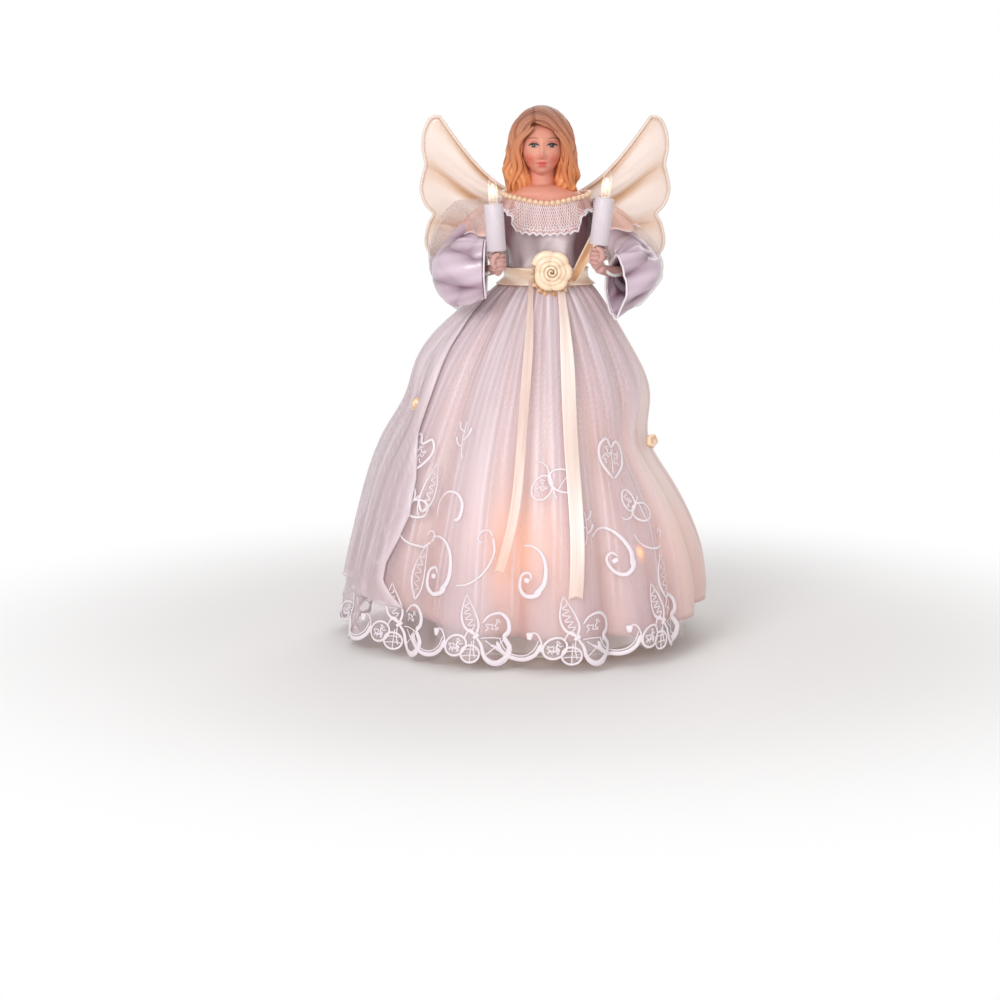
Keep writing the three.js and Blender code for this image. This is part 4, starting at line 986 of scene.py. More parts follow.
# %% Bodice and its stuffing
bodice_steps, bodice_rows = 240, 40
sash_level, chest_level, neck_level = 212, 222, 240
turn = full_turn(bodice_steps)
share = np.linspace(0, 1, bodice_rows)[:, None]
z = mix(torso_bottom + 0.1 * torso_height, torso_top, share)
from_sash, from_neck = hump(z, sash_level, 9), hump(z, neck_level, 9)
pulls = 0.8 * from_sash * (crease(turn, z, 15) - 0.4) + 0.5 * from_neck * np.cos(11 * turn + 1.4)
slack = np.cos(5 * turn + 0.11 * z + 0.6) * np.sin(np.pi * share) + 0.5 * np.cos(9 * turn - 0.13 * z)
points = polar(oval(*torso_half(z, 0.6), turn) + 0.6 * pulls + 0.6 * slack, turn, z)
# Painted shade and painted highlights: the sides of the bodice are darker, the creases lighter on their
# crests, and two diagonal glints on the chest are lighter.
side_shade = smoothstep(0.45, 0.95, np.abs(np.cos(turn))) * smoothstep(0.4, -0.4, np.sin(turn))
right_glint = hump(points[..., 0], 5.6 + 0.35 * (z - chest_level), 3.6) * hump(z, chest_level, 9)
left_glint = hump(points[..., 0], -13 + 0.8 * (z - 210), 2.2) * hump(z, 210, 7)
glint = (right_glint + 0.8 * left_glint) * (np.sin(turn) < 0)
bodice = surface(
    "bodice_satin",
    points,
    wrap=True,
    weave=(160, 43),
    shade=0.36 - 0.3 * pulls - 0.16 * slack + 0.62 * side_shade - 0.6 * glint,
)
# A lighter copy of the sleeves' lavender satin, with a near-white crest for the painted highlights.
bodice_satin = satin("bodice_lavender_satin", "#efe1e6", "#7c5c62", roughness=0.24)
finish_piece(bodice, "figure", bodice_satin, ["bodice"], thickness=0.6)

plug_radius, plug_bottom = 11.4, torso_bottom - 8
levels = np.linspace(0, 1, 24)[1:-1]
z = (torso_bottom + torso_height * levels)[:, None]
body = polar(oval(*torso_half(z, -0.4), turn[::4]), turn[::4], z)
plug = polar(plug_radius, turn[::4], np.array([[plug_bottom], [torso_bottom + 0.6]]))
closing = [0 * plug[:1] + [0, 0, plug_bottom], plug, body, 0 * plug[:1] + [0, 0, torso_top - 0.6]]
stuffing = surface("torso_stuffing", np.concatenate(closing), wrap=True, closed=True)
finish_piece(stuffing, "figure", wadding, ["torso_form"])
print("bodice and stuffing from", torso_bottom, "to", torso_top, "mm")

# %% Sash
sash_bottom, sash_width = skirt_top - 1.5, 9.0
share = np.linspace(-1, 1, 15)[:, None]
z = sash_bottom + sash_width / 2 + share * sash_width / 2
over_skirt = skirt_crest(turn, np.minimum(z, skirt_top)) + 0.5
over_bodice = oval(*torso_half(z, 1.5), turn)
hug = smoothstep(sash_bottom + 1, sash_bottom + 4, z)
tuck = 0.6 * np.cos(3.4 * share + 1.3 * np.sin(5 * turn) + 1.0) + 0.25 * np.cos(7 * share + 9 * turn)
radius = mix(np.maximum(over_skirt, over_bodice), over_bodice, hug) + 0.55 + 0.45 * tuck
points = polar(radius, turn, z)
# A lighter copy of the ivory satin, with a faint glow on the front half: painted light, where the arms and
# candles shade the sash. The tucks carry painted shade and painted highlights.
sash_satin = satin("ivory_sash_satin", "#fff0de", "#cf9c6c", glow_colour="#ffdfc4", roughness=0.26)
lit = 0.13 * smoothstep(0, -0.6, np.sin(turn))
sash = surface("sash_ribbon", points, wrap=True, weave=(150, 9), shade=0.25 - 0.5 * tuck, glow=lit)
finish_piece(sash, "figure", sash_satin, ["sash"], thickness=0.5)

# %% [markdown]
# ## Rose, bow and ribbon tails
#
# The rose is one folded ribbon, rolled up from its middle: each turn of the roll lies outside the last one
# and its folded edge leans outwards. So the whole rose is a strip that follows a spiral, with a rounded
# top edge. A small frill of pleated ribbon sits under it.

# %% Rose
rose_place = np.array([2.5, 0, 209.0])
rose_back = -(float(skirt_crest(-np.pi / 2, sash_bottom)) + 0.8 + 0.6)
rose_radius, rose_depth = 10.8, 9.0
wind = np.linspace(0, 1, 460)[:, None]
over = np.linspace(0, 1, 17)
spin = 2 * np.pi * 4.6 * wind**0.8 - 1.0
out_at = rose_radius * (0.03 + 0.80 * wind**1.05)
pitch = 2 * np.pi * np.gradient(out_at[:, 0])[:, None] / np.gradient(spin[:, 0])[:, None]
petal = np.abs(np.cos(2.5 * spin + 1.1 * wind * np.sin(spin))) ** 0.7
dome = rose_depth * np.sqrt(1 - 0.78 * (out_at / rose_radius) ** 2) - 1.4
lean = (1.12 + 0.5 * wind * petal) * pitch
radius = out_at * (1 + 0.05 * wind * petal) + lean * (0.5 - 0.5 * np.cos(np.pi * over)) - 0.3
bulge = np.sin(np.pi * (0.12 + 0.88 * over)) ** 0.7
rise = dome + (1.0 + 0.9 * petal * (0.4 + wind)) * bulge - 1.1 * over
points = points_of(
    rose_place[0] + radius * np.cos(spin), rose_back - rise, rose_place[2] + radius * np.sin(spin)
)
rose_shade = 0.75 * (1 - over) ** 4 + 0.5 * over**8 - 0.1 * petal
rose = surface("ribbon_rose", points, weave=(260, 14), shade=rose_shade)
finish_piece(rose, "figure", ivory_satin, ["rose"], thickness=0.45)

frill_turn = full_turn(160)
reach = np.linspace(0.1, 1, 12)[:, None]
pleats = np.cos(16 * frill_turn + 0.8 * np.sin(3 * frill_turn)) * reach
points = points_of(
    rose_place[0] + rose_radius * (1.02 + 0.07 * pleats) * reach * np.cos(frill_turn),
    rose_back - 0.9 - 1.2 * reach**2 + 0.8 * pleats,
    rose_place[2] - 2.4 + rose_radius * (1.06 + 0.07 * pleats) * reach * np.sin(frill_turn),
)
frill = surface("rose_frill", points, wrap=True, weave=(110, 12), shade=0.5 - 0.4 * pleats)
finish_piece(frill, "figure", ivory_satin, thickness=0.35)


# %% Ribbon tails
def on_skirt_front(x, z, extra):
    """The point in front of the skirt at x and z: y = -sqrt(radius^2 - x^2), found in six rounds."""
    y = -hem_front + 0 * x
    for _ in range(6):
        radius = skirt_crest(np.arctan2(y, x), z) + extra
        y = -np.sqrt(np.maximum(radius**2 - x**2, 0))
    return points_of(x, y, z)


tail_ribbon = organza("pale_ribbon", "#f9efe9", "#e2bfae", glow=0.07)


def ribbon_tail(name, width, top_x, end, sway, thickest):
    """A ribbon from the sash down to its cut end (x, z). It starts at half its width, sways, curls and lies
    on the folds. Where it turns to the light it looks denser, up to the number called thickest."""
    share = np.linspace(0, 1, 130)[:, None]
    across = np.linspace(-0.5, 0.5, 13)
    middle = mix(top_x, end[0], share) + sway * np.sin(np.pi * share**1.5) + 0.8 * np.sin(9 * share)
    z = mix(sash_bottom + 3, end[1], share)
    curl = 0.5 * np.cos(2 * np.pi * across) * np.cos(11 * share + 1) + 0.4 * np.sin(17 * share)
    notch = 1.6 * smoothstep(0.97, 1.0, share) * (1 - 2 * np.abs(across))
    x = middle + width * across * (0.5 + 0.5 * smoothstep(0, 0.3, share))
    points = on_skirt_front(x, z + notch, 1.3 + 0.5 * curl + 0.9 * np.sin(np.pi * share))
    bent = np.abs(2 * across) ** 6
    turned_to_light = 0.5 + 0.5 * np.cos(2 * np.pi * (2.1 * share - 0.55))
    veil = thickest * (0.7 + 0.3 * turned_to_light + 0.2 * bent + 0.1 * curl)
    tail = surface(name, points, weave=(width, 150), veil=veil)
    finish_piece(tail, "figure", tail_ribbon, [name], thickness=0.35)


ribbon_tail("ribbon_tail_left", 5.2, -8.5, (-27.0, 53.0), 5.4, 0.62)
ribbon_tail("ribbon_tail_right", 7.6, 7.5, (14.0, 40.0), 2.4, 0.95)

# %% Bow loop
rise_angle = np.radians(62.0)
along = np.array([np.cos(rise_angle), 0, np.sin(rise_angle)])
across_way = np.array([-np.sin(rise_angle), 0, np.cos(rise_angle)])
start = np.array([14.5, rose_back + 0.5, skirt_top + 1.5])
loop_turn = full_turn(120)
side_share = np.linspace(-1, 1, 15)[:, None]
half = 3.1 * (0.55 + 0.45 * np.sin(loop_turn / 2) ** 0.8)
loop = (
    start
    + along * (13.2 - 13.2 * np.cos(loop_turn))[:, None]
    + np.array([0, 1, 0]) * (1.75 * np.sin(loop_turn) * (0.8 + 0.5 * np.sin(loop_turn / 2)))[:, None]
    + side_share[..., None] * half[:, None] * across_way
    + np.array([0, 0.5, 0]) * np.cos(2.5 * side_share)[..., None]
)
# Painted shade fills the loop's middle, and its folded edges stay light as a painted highlight.
fold_line = np.abs(side_share) ** 8
bow = surface("bow_loop_ribbon", loop, wrap=True, weave=(54, 9), shade=0.8 - 0.8 * fold_line)
finish_piece(bow, "figure", ivory_satin, ["bow_loop"], thickness=0.35)


# %% Rosettes that gather the organza
def rosette(name, angle, height):
    """A small knot of wound ribbon: a dome of 4 mm radius with a spiral groove."""
    share = np.linspace(0, 1, 22)[:, None]
    turns = full_turn(48)
    groove = 0.32 * np.cos(turns - 2 * np.pi * 2.4 * share)
    radius = 3.3 * np.sin(share * np.pi) + 0.25 * np.sin(share * np.pi) * np.cos(5 * turns)
    rise = 1.9 * -np.cos(share * np.pi) + groove * np.sin(share * np.pi) ** 0.5
    seat = polar(float(overskirt_radius(angle, height)) + 2.4, angle, height)
    facing = polar(1.0, -np.pi / 2 + 0.55 * np.angle(np.exp(1j * (angle + np.pi / 2))), 0)
    placed = stand(1.2 * polar(radius, turns, rise), seat, facing)
    knot = surface(name, placed, wrap=True, closed=True, shade=0.3 - groove)
    finish_piece(knot, "figure", ivory_satin, [name])


rosette("rosette_left", rosette_angles[0], rosette_heights[0])
rosette("rosette_right", rosette_angles[1] - np.radians(10), rosette_heights[1])

# %% [markdown]
# ## Wings
#
# Each wing is two layers of satin with wadding between them, quilted into three feathers and edged with
# piping that hides a wire. The outline is a list of points on the outer edge as shares of the wing's span
# and height. From the root to the edge, the pad swells to its full thickness and runs out again, and it
# pinches to nothing in the stitched grooves between the feathers.

# %% Wings
wing_plane, wing_root, wing_top, wing_low = 21.3, 9.0, 246.0, 214.5
wing_span, wing_height, wing_root_height = 60.0, 79.0, 31.0
wing_slant, piping_radius = 0.12, 0.95
edge_x = [0.86, 0.93, 0.985, 1, 0.975, 0.995, 1.02, 0.98, 0.9, 0.95, 0.975, 0.9, 0.74]
edge_z = [1, 0.985, 0.9, 0.79, 0.67, 0.6, 0.49, 0.39, 0.315, 0.23, 0.1, 0.015, 0]
edge_line = smooth_path(points_of(edge_x, edge_z) * [wing_span, wing_height], steps=97)
edge_line = edge_line + [wing_root, wing_low]
quilt_at = np.array([0, 0.325, 0.69, 1.0])


def wing_depth(x):
    """How far back the wing's middle surface lies. The wings slant backwards from their roots."""
    return wing_plane + wing_slant * (x - wing_root)


def wing_spot(along, down):
    """A place on the wing's middle surface: from the root line (along 0) to the outer edge (along 1)."""
    place = np.clip(down, 0, 1) * (len(edge_line) - 1)
    edge = [np.interp(place, np.arange(len(edge_line)), line) for line in edge_line.T]
    root_z = wing_top - wing_root_height * down
    sag = 8 * np.sin(np.pi * along) * (1 - down) ** 2
    return mix(wing_root, edge[0], along), mix(root_z, edge[1], along) - sag


ivory_cord = plain("ivory_piping_cord", "#f0dccf", 0.35, 0.02, 2.0)


def wing(label, side):
    """A quilted pad with piping. Thickness = 0.5 + 5 |sin(pi feather)|^0.5 sin(pi sqrt(along))^0.7."""
    name, body = f"wing_{label}", f"{label}_wing"
    rows, columns = 145, 44
    down = np.linspace(0, 1, rows)[:, None]
    along = np.linspace(0, 1, columns)
    feather = np.interp(down, quilt_at, np.arange(4.0)) + 0.03 * np.sin(3 * np.pi * along)
    groove = np.abs(np.sin(np.pi * feather))
    run_out = np.sin(np.pi * np.sqrt(along)) ** 0.7
    puckers = 0.3 * np.cos(2 * np.pi * 17 * feather + 6 * along) * (1 - groove) ** 2
    quills = 0.22 * np.cos(2 * np.pi * 3 * feather + 2 * np.sin(5 * along)) * groove
    pad = 5.0 * np.sqrt(groove) * run_out + (puckers + quills) * run_out
    x, z = wing_spot(along, down)
    middle = wing_depth(x)
    front = points_of(side * x, middle - 0.25 - pad / 2, z)
    back = points_of(side * x, middle + 0.25 + pad / 2, z)
    # Painted shade darkens the quilted grooves, deepest away from the root and the edge, and a painted
    # highlight lightens a band beside each groove.
    deep = (1 - groove) ** 1.1 * (0.35 + 0.65 * run_out)
    lit = hump(groove, 0.62, 0.2) * np.sin(np.pi * along)
    deep = 0.2 + 0.95 * deep - 0.26 * lit
    both = np.concatenate([front, back[:, ::-1]], 1)
    shade = np.concatenate([deep, deep[:, ::-1]], 1)
    for row in (0, -1):
        both[row, :, 1] = np.concatenate([middle[row], middle[row][::-1]])
    made = surface(name, both, wrap=True, closed=True, weave=(120, 90), shade=shade)
    finish_piece(made, body, wing_satin, [name])

    line = np.concatenate(
        [
            points_of(*wing_spot(np.linspace(0, 1, 60), np.zeros(60)))[:-1],
            edge_line[:-1],
            points_of(*wing_spot(np.linspace(1, 0, 40), np.ones(40))),
        ]
    )
    ahead = unit(np.roll(line, -1, 0) - np.roll(line, 1, 0))
    line = line + 0.75 * points_of(-ahead[:, 1], ahead[:, 0])
    path = points_of(side * line[:, 0], wing_depth(line[:, 0]), line[:, 1])
    tube = ring_grid(sweep(path, (0, -1, 0), circle(8, piping_radius), ring=True))
    piping = surface(f"wing_piping_{label}", tube, wrap=True, closed=True, shade=0.15)
    finish_piece(piping, body, ivory_cord, [f"wing_wire_{label}"])


for label, side in sides.items():
    wing(label, side)
print("wings made with", len(edge_line), "points on each outer edge")

# %% [markdown]
# ## Sleeves, hands and candles
#
# A satin sleeve puffs out from the shoulder, hangs in a bend and opens wide in front, round the hand. A
# second sleeve of organza floats over it. Both are tubes through a few measured sections, each with its
# place, heading, width and height; the wrinkles run along the bend, closest on its inner side. A small
# ruffle of organza with a stitched edge spreads over each shoulder; its peach tint is partly painted
# candlelight.

# %% Sections of the arms
shoulder_x, shoulder_z = 26.2, torso_top - 6.3
arm_reach, arm_forward, arm_drop = 18.0, 42.0, 34.0
sleeve_sections = {
    "left": [
        [0, 0, 0.02, 90, 0.8, 0.5],
        [0.48, 0.07, 0.28, 70, 0.96, 0.62],
        [1.02, 0.21, 0.6, 40, 1.05, 0.8],
        [1.34, 0.4, 0.88, 8, 1.04, 0.84],
        [1.22, 0.62, 0.85, -32, 1.04, 0.84],
        [0.8, 0.78, 0.83, -62, 0.85, 0.8],
        [0.47, 0.86, 0.79, -84, 0.68, 0.72],
    ],
    "right": [
        [0, 0, 0.02, 90, 0.8, 0.5],
        [0.48, 0.07, 0.28, 70, 0.96, 0.58],
        [1.02, 0.21, 0.58, 40, 1, 0.66],
        [1.34, 0.4, 0.8, 8, 1.04, 0.68],
        [1.2, 0.62, 0.92, -26, 1.05, 0.76],
        [0.67, 0.82, 1.08, -52, 0.72, 0.82],
    ],
}
oversleeve_sections = {
    "left": [
        [0, 0, 0.02, 90, 0.74, 0.46],
        [0.52, 0.06, 0.18, 70, 0.93, 0.66],
        [1.13, 0.19, 0.38, 40, 0.98, 0.94],
        [1.34, 0.34, 0.56, 14, 0.88, 1.08],
        [1.34, 0.46, 0.66, -4, 0.86, 1.08],
    ],
    "right": [
        [0, 0, 0.02, 90, 0.74, 0.46],
        [0.52, 0.06, 0.24, 70, 0.91, 0.58],
        [1.13, 0.19, 0.56, 40, 1, 0.68],
        [1.34, 0.34, 0.76, 14, 0.88, 0.76],
        [1.32, 0.46, 0.84, -4, 0.86, 0.8],
    ],
}


def arm_point(side, reach, forward, drop):
    """A place along the arm, from shares of its reach, its way forward and its drop."""
    x = side * (shoulder_x + reach * arm_reach)
    return points_of(x, -forward * arm_forward, shoulder_z - drop * arm_drop)


def sleeve_tube(side, table, half_width, half_height, rows, columns, ruffle):
    """Rings through the table's sections: ovals that get pointed at the top and bottom towards the open
    end, where width = |cos|^1.5. Returns the points and the depth of the wrinkles."""
    line = smooth_path(table, rows)
    reach, forward, drop, heading, width, height = line.T
    centre = arm_point(side, reach, forward, drop)
    heading = np.radians(heading)
    across = points_of(side * np.cos(heading), np.sin(heading), 0)
    turn = full_turn(columns)
    share = np.linspace(0, 1, rows)[:, None]
    inner = 0.5 - 0.5 * np.cos(turn)
    bend = 12 * share + 1.5 * np.sin(turn + side) + 0.7 * np.sin(3 * turn)
    spiral = 4 * turn + 7 * share + 0.8 * np.sin(2 * turn)
    wrinkle = 0.6 * (2 * np.abs(np.cos(spiral / 2)) ** 0.8 - 1.2) * smoothstep(0.05, 0.3, share)
    across_bend = (2 * np.abs(np.cos(bend)) ** 0.7 - 1.2) * (0.15 + 0.4 * inner)
    wrinkle = wrinkle + across_bend * smoothstep(0.1, 0.4, share)
    wrinkle = wrinkle + 0.18 * np.cos(13 * turn - 9 * share) * smoothstep(0.3, 0.9, share)
    gather = np.cos(24 * turn) * smoothstep(0.22, 0, share)
    size = 1 + ruffle * wrinkle + 0.035 * gather
    folded = np.sign(np.cos(turn)) * np.abs(np.cos(turn)) ** (1 + 0.5 * share)
    folded = folded * (1 - 0.3 * np.maximum(0, -np.sin(turn + 0.2)) * np.maximum(0, np.cos(turn)))
    out = half_width * width[:, None] * size * folded
    up = half_height * height[:, None] * size * np.sin(turn)
    points = centre[:, None] + out[..., None] * across[:, None] + up[..., None] * np.array([0, 0, 1])
    return points, 0.5 - 0.5 * wrinkle


def capped(grid):
    """Closes both ends of a tube: adds a row at each end with all its points in the ring's middle."""
    ends = [np.broadcast_to(grid[i].mean(0), grid[i].shape)[None] for i in (0, -1)]
    return np.concatenate([ends[0], grid, ends[1]])


sleeve_veils = {"left": 0.2, "right": 0.04}
ruffle_x, ruffle_z = 28.8, 247
cuff_radius, ruffle_edge_radius = 0.6, 0.3
for label, side in sides.items():
    body = f"{label}_arm"
    table = np.array(sleeve_sections[label], float)
    points, deep = sleeve_tube(side, table, 12.1, 20.1, 96, 144, 0.095)
    made = surface(f"sleeve_{label}_satin", points, wrap=True, weave=(110, 60), shade=1.1 * deep**1.5)
    finish_piece(made, body, lavender_satin, [f"sleeve_{label}"], thickness=0.7)
    last = np.radians(table[-1, 3])
    ahead = np.array([side * np.sin(last), -np.cos(last), 0])
    tube = sweep(points[-1] + 0.9 * ahead, ahead, circle(8, cuff_radius), ring=True)
    made = surface(f"cuff_{label}_piping", ring_grid(tube), wrap=True, closed=True, shade=0.1)
    finish_piece(made, body, rayon_thread, [f"cuff_{label}"])

    table = np.array(oversleeve_sections[label], float)
    points, deep = sleeve_tube(side, table, 16.6, 24.6, 64, 128, 0.05)
    veil = sleeve_veils[label] + (0.16 + 0.1 * deep) * smoothstep(238, 215, points[..., 2])
    made = surface(f"oversleeve_{label}_organza", points, wrap=True, weave=(130, 60), veil=veil)
    finish_piece(made, body, sleeve_organza, [f"oversleeve_{label}"], thickness=0.3)
    spread = np.linspace(np.radians(-90), np.radians(88), 150)
    share = np.linspace(0, 1, 26)[:, None]
    wave = np.cos(9 * spread + side + 0.5 * np.sin(3 * spread))
    reach = np.array([1 + 22 * share, 3 + 16 * share]) + 1.7 * share * wave
    reach[1] = reach[1] * mix(1, 0.5, smoothstep(-0.2, 0.6, spread))
    fall = 3 * share + (12.5 - 2.5 * np.sin(spread + side)) * share**2 + 1.3 * share * wave
    cape_x = side * (ruffle_x + reach[0] * np.cos(spread))
    cape = points_of(cape_x, reach[1] * np.sin(spread), ruffle_z - fall)
    veil = 0.22 + 0.24 * (0.5 + 0.5 * wave) * share + 0.4 * smoothstep(0.95, 0.99, share)
    made = surface(f"shoulder_ruffle_{label}_organza", cape, weave=(90, 30), veil=veil)
    finish_piece(made, body, ruffle_organza, thickness=0.3)
    tube = sweep(cape[-1], (0, 0, 1), circle(8, ruffle_edge_radius))
    made = surface(f"shoulder_ruffle_{label}_edge", capped(tube), wrap=True, closed=True)
    finish_piece(made, body, rayon_thread)
print("sleeves and cuffs made")

# %% Stuffed arms
arm_table = np.array(
    [
        [0, 0, 0],
        [0.12, 0, 0],
        [0.5, 0.12, 0.22],
        [0.95, 0.33, 0.58],
        [0.95, 0.58, 0.82],
        [0.42, 0.78, 0.82],
        [0.08, 1, 0.76],
    ]
)
arm_steps, wrist_step = 60, 36
arm_radius, wrist_radius = 3.9, 2.9

for label, side in sides.items():
    core = smooth_path(arm_point(side, *arm_table.T), arm_steps)[:wrist_step]
    tube = sweep(core, (0, 0, 1), circle(20, arm_radius))
    made = surface(f"arm_{label}_stuffing", capped(tube), wrap=True, closed=True)
    finish_piece(made, f"{label}_arm", wadding, [f"arm_{label}"])

# %% [markdown]
# ## Hands and candles
#
# The moulded hands hold the candles from below. A hand is a wrist, a rounded palm, four fingers that curl
# round the candle's foot, and a thumb. The candle is a plain plastic tube with a push-in lamp in its top.

# %% Painted vinyl
vinyl, tree = new_material("painted_vinyl")
place = add_node(tree, "TexCoord")
# The blush colour is also used for painted shade round the brows.
rosy = blend(tree, mark(tree, "blush"), linear("#dfa08a"), linear("#d06a56"))
mottle = add_node(tree, "TexNoise", {"Vector": place.outputs["Object"], "Scale": 900.0, "Detail": 2.0})
sockets = {
    "Base Color": blend(tree, mark(tree, "lips"), rosy, linear("#d0605a")),
    "Roughness": 0.46,
    "Subsurface Weight": 0.12,
    "Subsurface Scale": 0.002,
    "Normal": bumpy(tree, mottle.outputs["Fac"], 0.15, 0.06),
}
principled(tree, sockets)

# %% Hands
# A darker, greyer copy of the face's vinyl: painted shade, for the hands lie in the shadow of the sleeves.
hand_vinyl = plain("shaded_hand_vinyl", "#cf9f97", 0.42, 0.02, 3.0)
candle_feet = {"left": np.array([-27.64, -42, 221.3]), "right": np.array([27.64, -42, 224.6])}
candle_leans = np.radians([-3.7, 7.1])
candle_ups = {
    label: np.array([np.sin(lean), 0, np.cos(lean)]) for label, lean in zip(candle_feet, candle_leans)
}
hand_columns = 24


def resampled(grid, rows):
    """A tube's grid with another number of rows, and with hand_columns columns instead of half as many."""
    rows_at = np.linspace(0, len(grid) - 1, rows)
    low = np.floor(rows_at).astype(int).clip(0, len(grid) - 2)
    share = (rows_at - low)[:, None, None]
    grid = grid[low] * (1 - share) + grid[low + 1] * share
    if grid.shape[1] == hand_columns:
        return grid
    ring = np.concatenate([grid, grid[:, :1]], 1)
    return np.stack([ring[:, :-1], (ring[:, :-1] + ring[:, 1:]) / 2], 2).reshape(rows, hand_columns, 3)


for label, side in sides.items():
    foot, up = candle_feet[label], candle_ups[label]
    path = smooth_path(arm_point(side, *arm_table.T), arm_steps)[wrist_step:]
    wrist = sweep(path, (0, 0, 1), circle(hand_columns, wrist_radius))
    levels = np.linspace(0, 1, 30)[:, None]
    turn = full_turn(hand_columns)
    bulge = np.sin(np.pi * np.clip(levels, 0, 1)) ** 0.5
    fist_radius = 4.8 * bulge * (0.72 + 0.28 * levels)
    fist_height = -13.6 + 13.3 * levels
    fist = points_of(fist_radius * np.cos(turn), 1.05 * fist_radius * np.sin(turn), fist_height)
    parts = [capped(wrist), capped(stand(fist, foot, up))]
    for finger in range(4):
        bend = np.radians(np.linspace(*((150, 400) if side > 0 else (30, -220)), 18))
        reach = 3.9 - 0.25 * abs(finger - 1.2)
        knuckle = reach + 0.25 * np.cos(3 * bend)
        line = polar(knuckle, bend, -2.5 - 2.4 * finger)
        size = 1.1 * np.sin(np.linspace(0.5, np.pi - 0.35, 18)) ** 0.5
        tube = sweep(line, (0, 0, 1), circle(hand_columns // 2), size)
        parts.append(capped(stand(tube, foot, up)))
    thumb = np.array([[1.0, -4.2, -9], [2.4, -4.6, -6], [1.0, -4.9, -2.6], [-1.6, -4.5, -1.4]])
    thumb = smooth_path(thumb * [side, 1, 1], 16)
    size = 1.6 * np.sin(np.linspace(0.6, np.pi - 0.3, 16)) ** 0.5
    tube = sweep(thumb, (0, -1, 0), circle(hand_columns // 2), size)
    parts.append(capped(stand(tube, foot, up)))
    most = max(len(part) for part in parts)
    grids = np.array([resampled(part, most) for part in parts])
    made = surface(f"hand_{label}_vinyl", grids, wrap=True, closed=True)
    finish_piece(made, f"{label}_arm", hand_vinyl, [f"hand_{label}"])

# %% Candle tubes
candle_height, candle_radius, candle_wall = 25.4, 5.2, 1.0
bore = candle_radius - candle_wall
tube_profile = [
    (bore, 0.0),
    (candle_radius - 0.25, 0.0),
    (candle_radius, 0.25),
    (candle_radius, candle_height - 0.5),
    (candle_radius - 0.18, candle_height - 0.12),
    (candle_radius - 0.5, candle_height),
    (bore + 0.1, candle_height - 0.06),
    (bore, candle_height - 0.3),
    (bore, 0.0),
]
for label, foot in candle_feet.items():
    tube = stand(turned(tube_profile, 72), foot, candle_ups[label])
    made = surface(f"candle_{label}_tube", tube, wrap=True, closed=True, weave=(33, 60))
    finish_piece(made, f"{label}_arm", candle_plastic, [f"candle_{label}"])
print("hands and candles made")

# %% [markdown]
# ## Miniature lamps
#
# A miniature lamp is a clear glass envelope with a drawn-out tip, fused round two lead wires that carry a
# coiled filament. Its plastic base pushes into a holder. The lit filament is the brightest thing in the
# picture; the glass near it glows orange.

# %% Lamp materials
lit_filament, tree = new_material("lit_tungsten_filament")
shine = add_node(tree, "Emission", {"Color": linear("#ffe2b0"), "Strength": 9.0})
add_node(tree, "OutputMaterial", {"Surface": shine.outputs[0]})
lead_metal = plain("lead_wire_metal", "#b79d7c", 0.3, **{"Metallic": 1.0})

lamp_glass, tree = new_material("clear_lamp_glass")
glow = mark(tree, "glow")
facing = add_node(tree, "LayerWeight", {"Blend": 0.35})
opacity = add_node(
    tree, "MapRange", {"Value": facing.outputs["Facing"], "From Min": 0.1, "To Min": 0.06, "To Max": 0.6}
)
sockets = {
    "Base Color": linear("#fff6ee"),
    "Roughness": 0.06,
    "IOR": 1.5,
    "Alpha": reckon(tree, "ADD", glow, opacity.outputs[0], clamp=True),
    "Emission Color": linear("#ffab5c"),
    "Emission Strength": glow,
}
principled(tree, sockets)


# %% Lamps
base_radius, seat_depth, base_stand, glass_radius, glass_length = 2.4, 7.7, 1.5, 2.6, 16.5
glass_levels = [0, 0.04, 0.12, 0.5, 0.7, 0.85, 0.95, 1]
glass_widths = [0.86, 0.95, 1, 1, 0.83, 0.5, 0.24, 0.0]
holder_top = 24.2


def lamp(label, seat, up, body, node):
    """A lamp with the top of its holder at the seat: base, glass, two leads and a coiled filament."""
    base = [
        (0, -seat_depth),
        (1.8, -seat_depth),
        (base_radius, -seat_depth + 0.5),
        (base_radius, 1.2),
        (2.1, base_stand),
        (0, base_stand),
    ]
    made = surface(f"{label}_base", stand(turned(base, 32), seat, up), wrap=True, closed=True)
    finish_piece(made, body, holder_plastic)
    level = np.linspace(0, 1, 34)
    width = np.interp(level, glass_levels, glass_widths)
    rows = points_of(glass_radius * width, base_stand + glass_length * level)
    shine = 0.42 * hump(level, 0.3, 0.22)[:, None]
    made = surface(
        f"{label}_glass", stand(turned(rows, 36), seat, up), wrap=True, closed=True, glow=shine
    )
    finish_piece(made, body, lamp_glass, [node])
    turn8 = circle(8, 0.17)
    leads = []
    for side in (-1, 1):
        line = smooth_path([(side * 0.9, 0, 1.2), (side * 0.9, 0, 4), (side * 0.75, 0, 7.0)], 20)
        leads.append(sweep(line, (0, 1, 0), turn8))
    both = np.array([capped(lead) for lead in leads])
    made = surface(f"{label}_leads", stand(both, seat, up), wrap=True, closed=True)
    finish_piece(made, body, lead_metal)
    t = np.linspace(-1, 1, 60)
    coil = points_of(0.75 * t, 0.22 * np.cos(30 * t), 7.0 + 4.4 * (1 - t**2) + 0.22 * np.sin(30 * t))
    thread = sweep(coil, (0, 1, 0.1), circle(6, 0.24))
    made = surface(f"{label}_filament", stand(capped(thread), seat, up), wrap=True, closed=True)
    finish_piece(made, body, lit_filament)


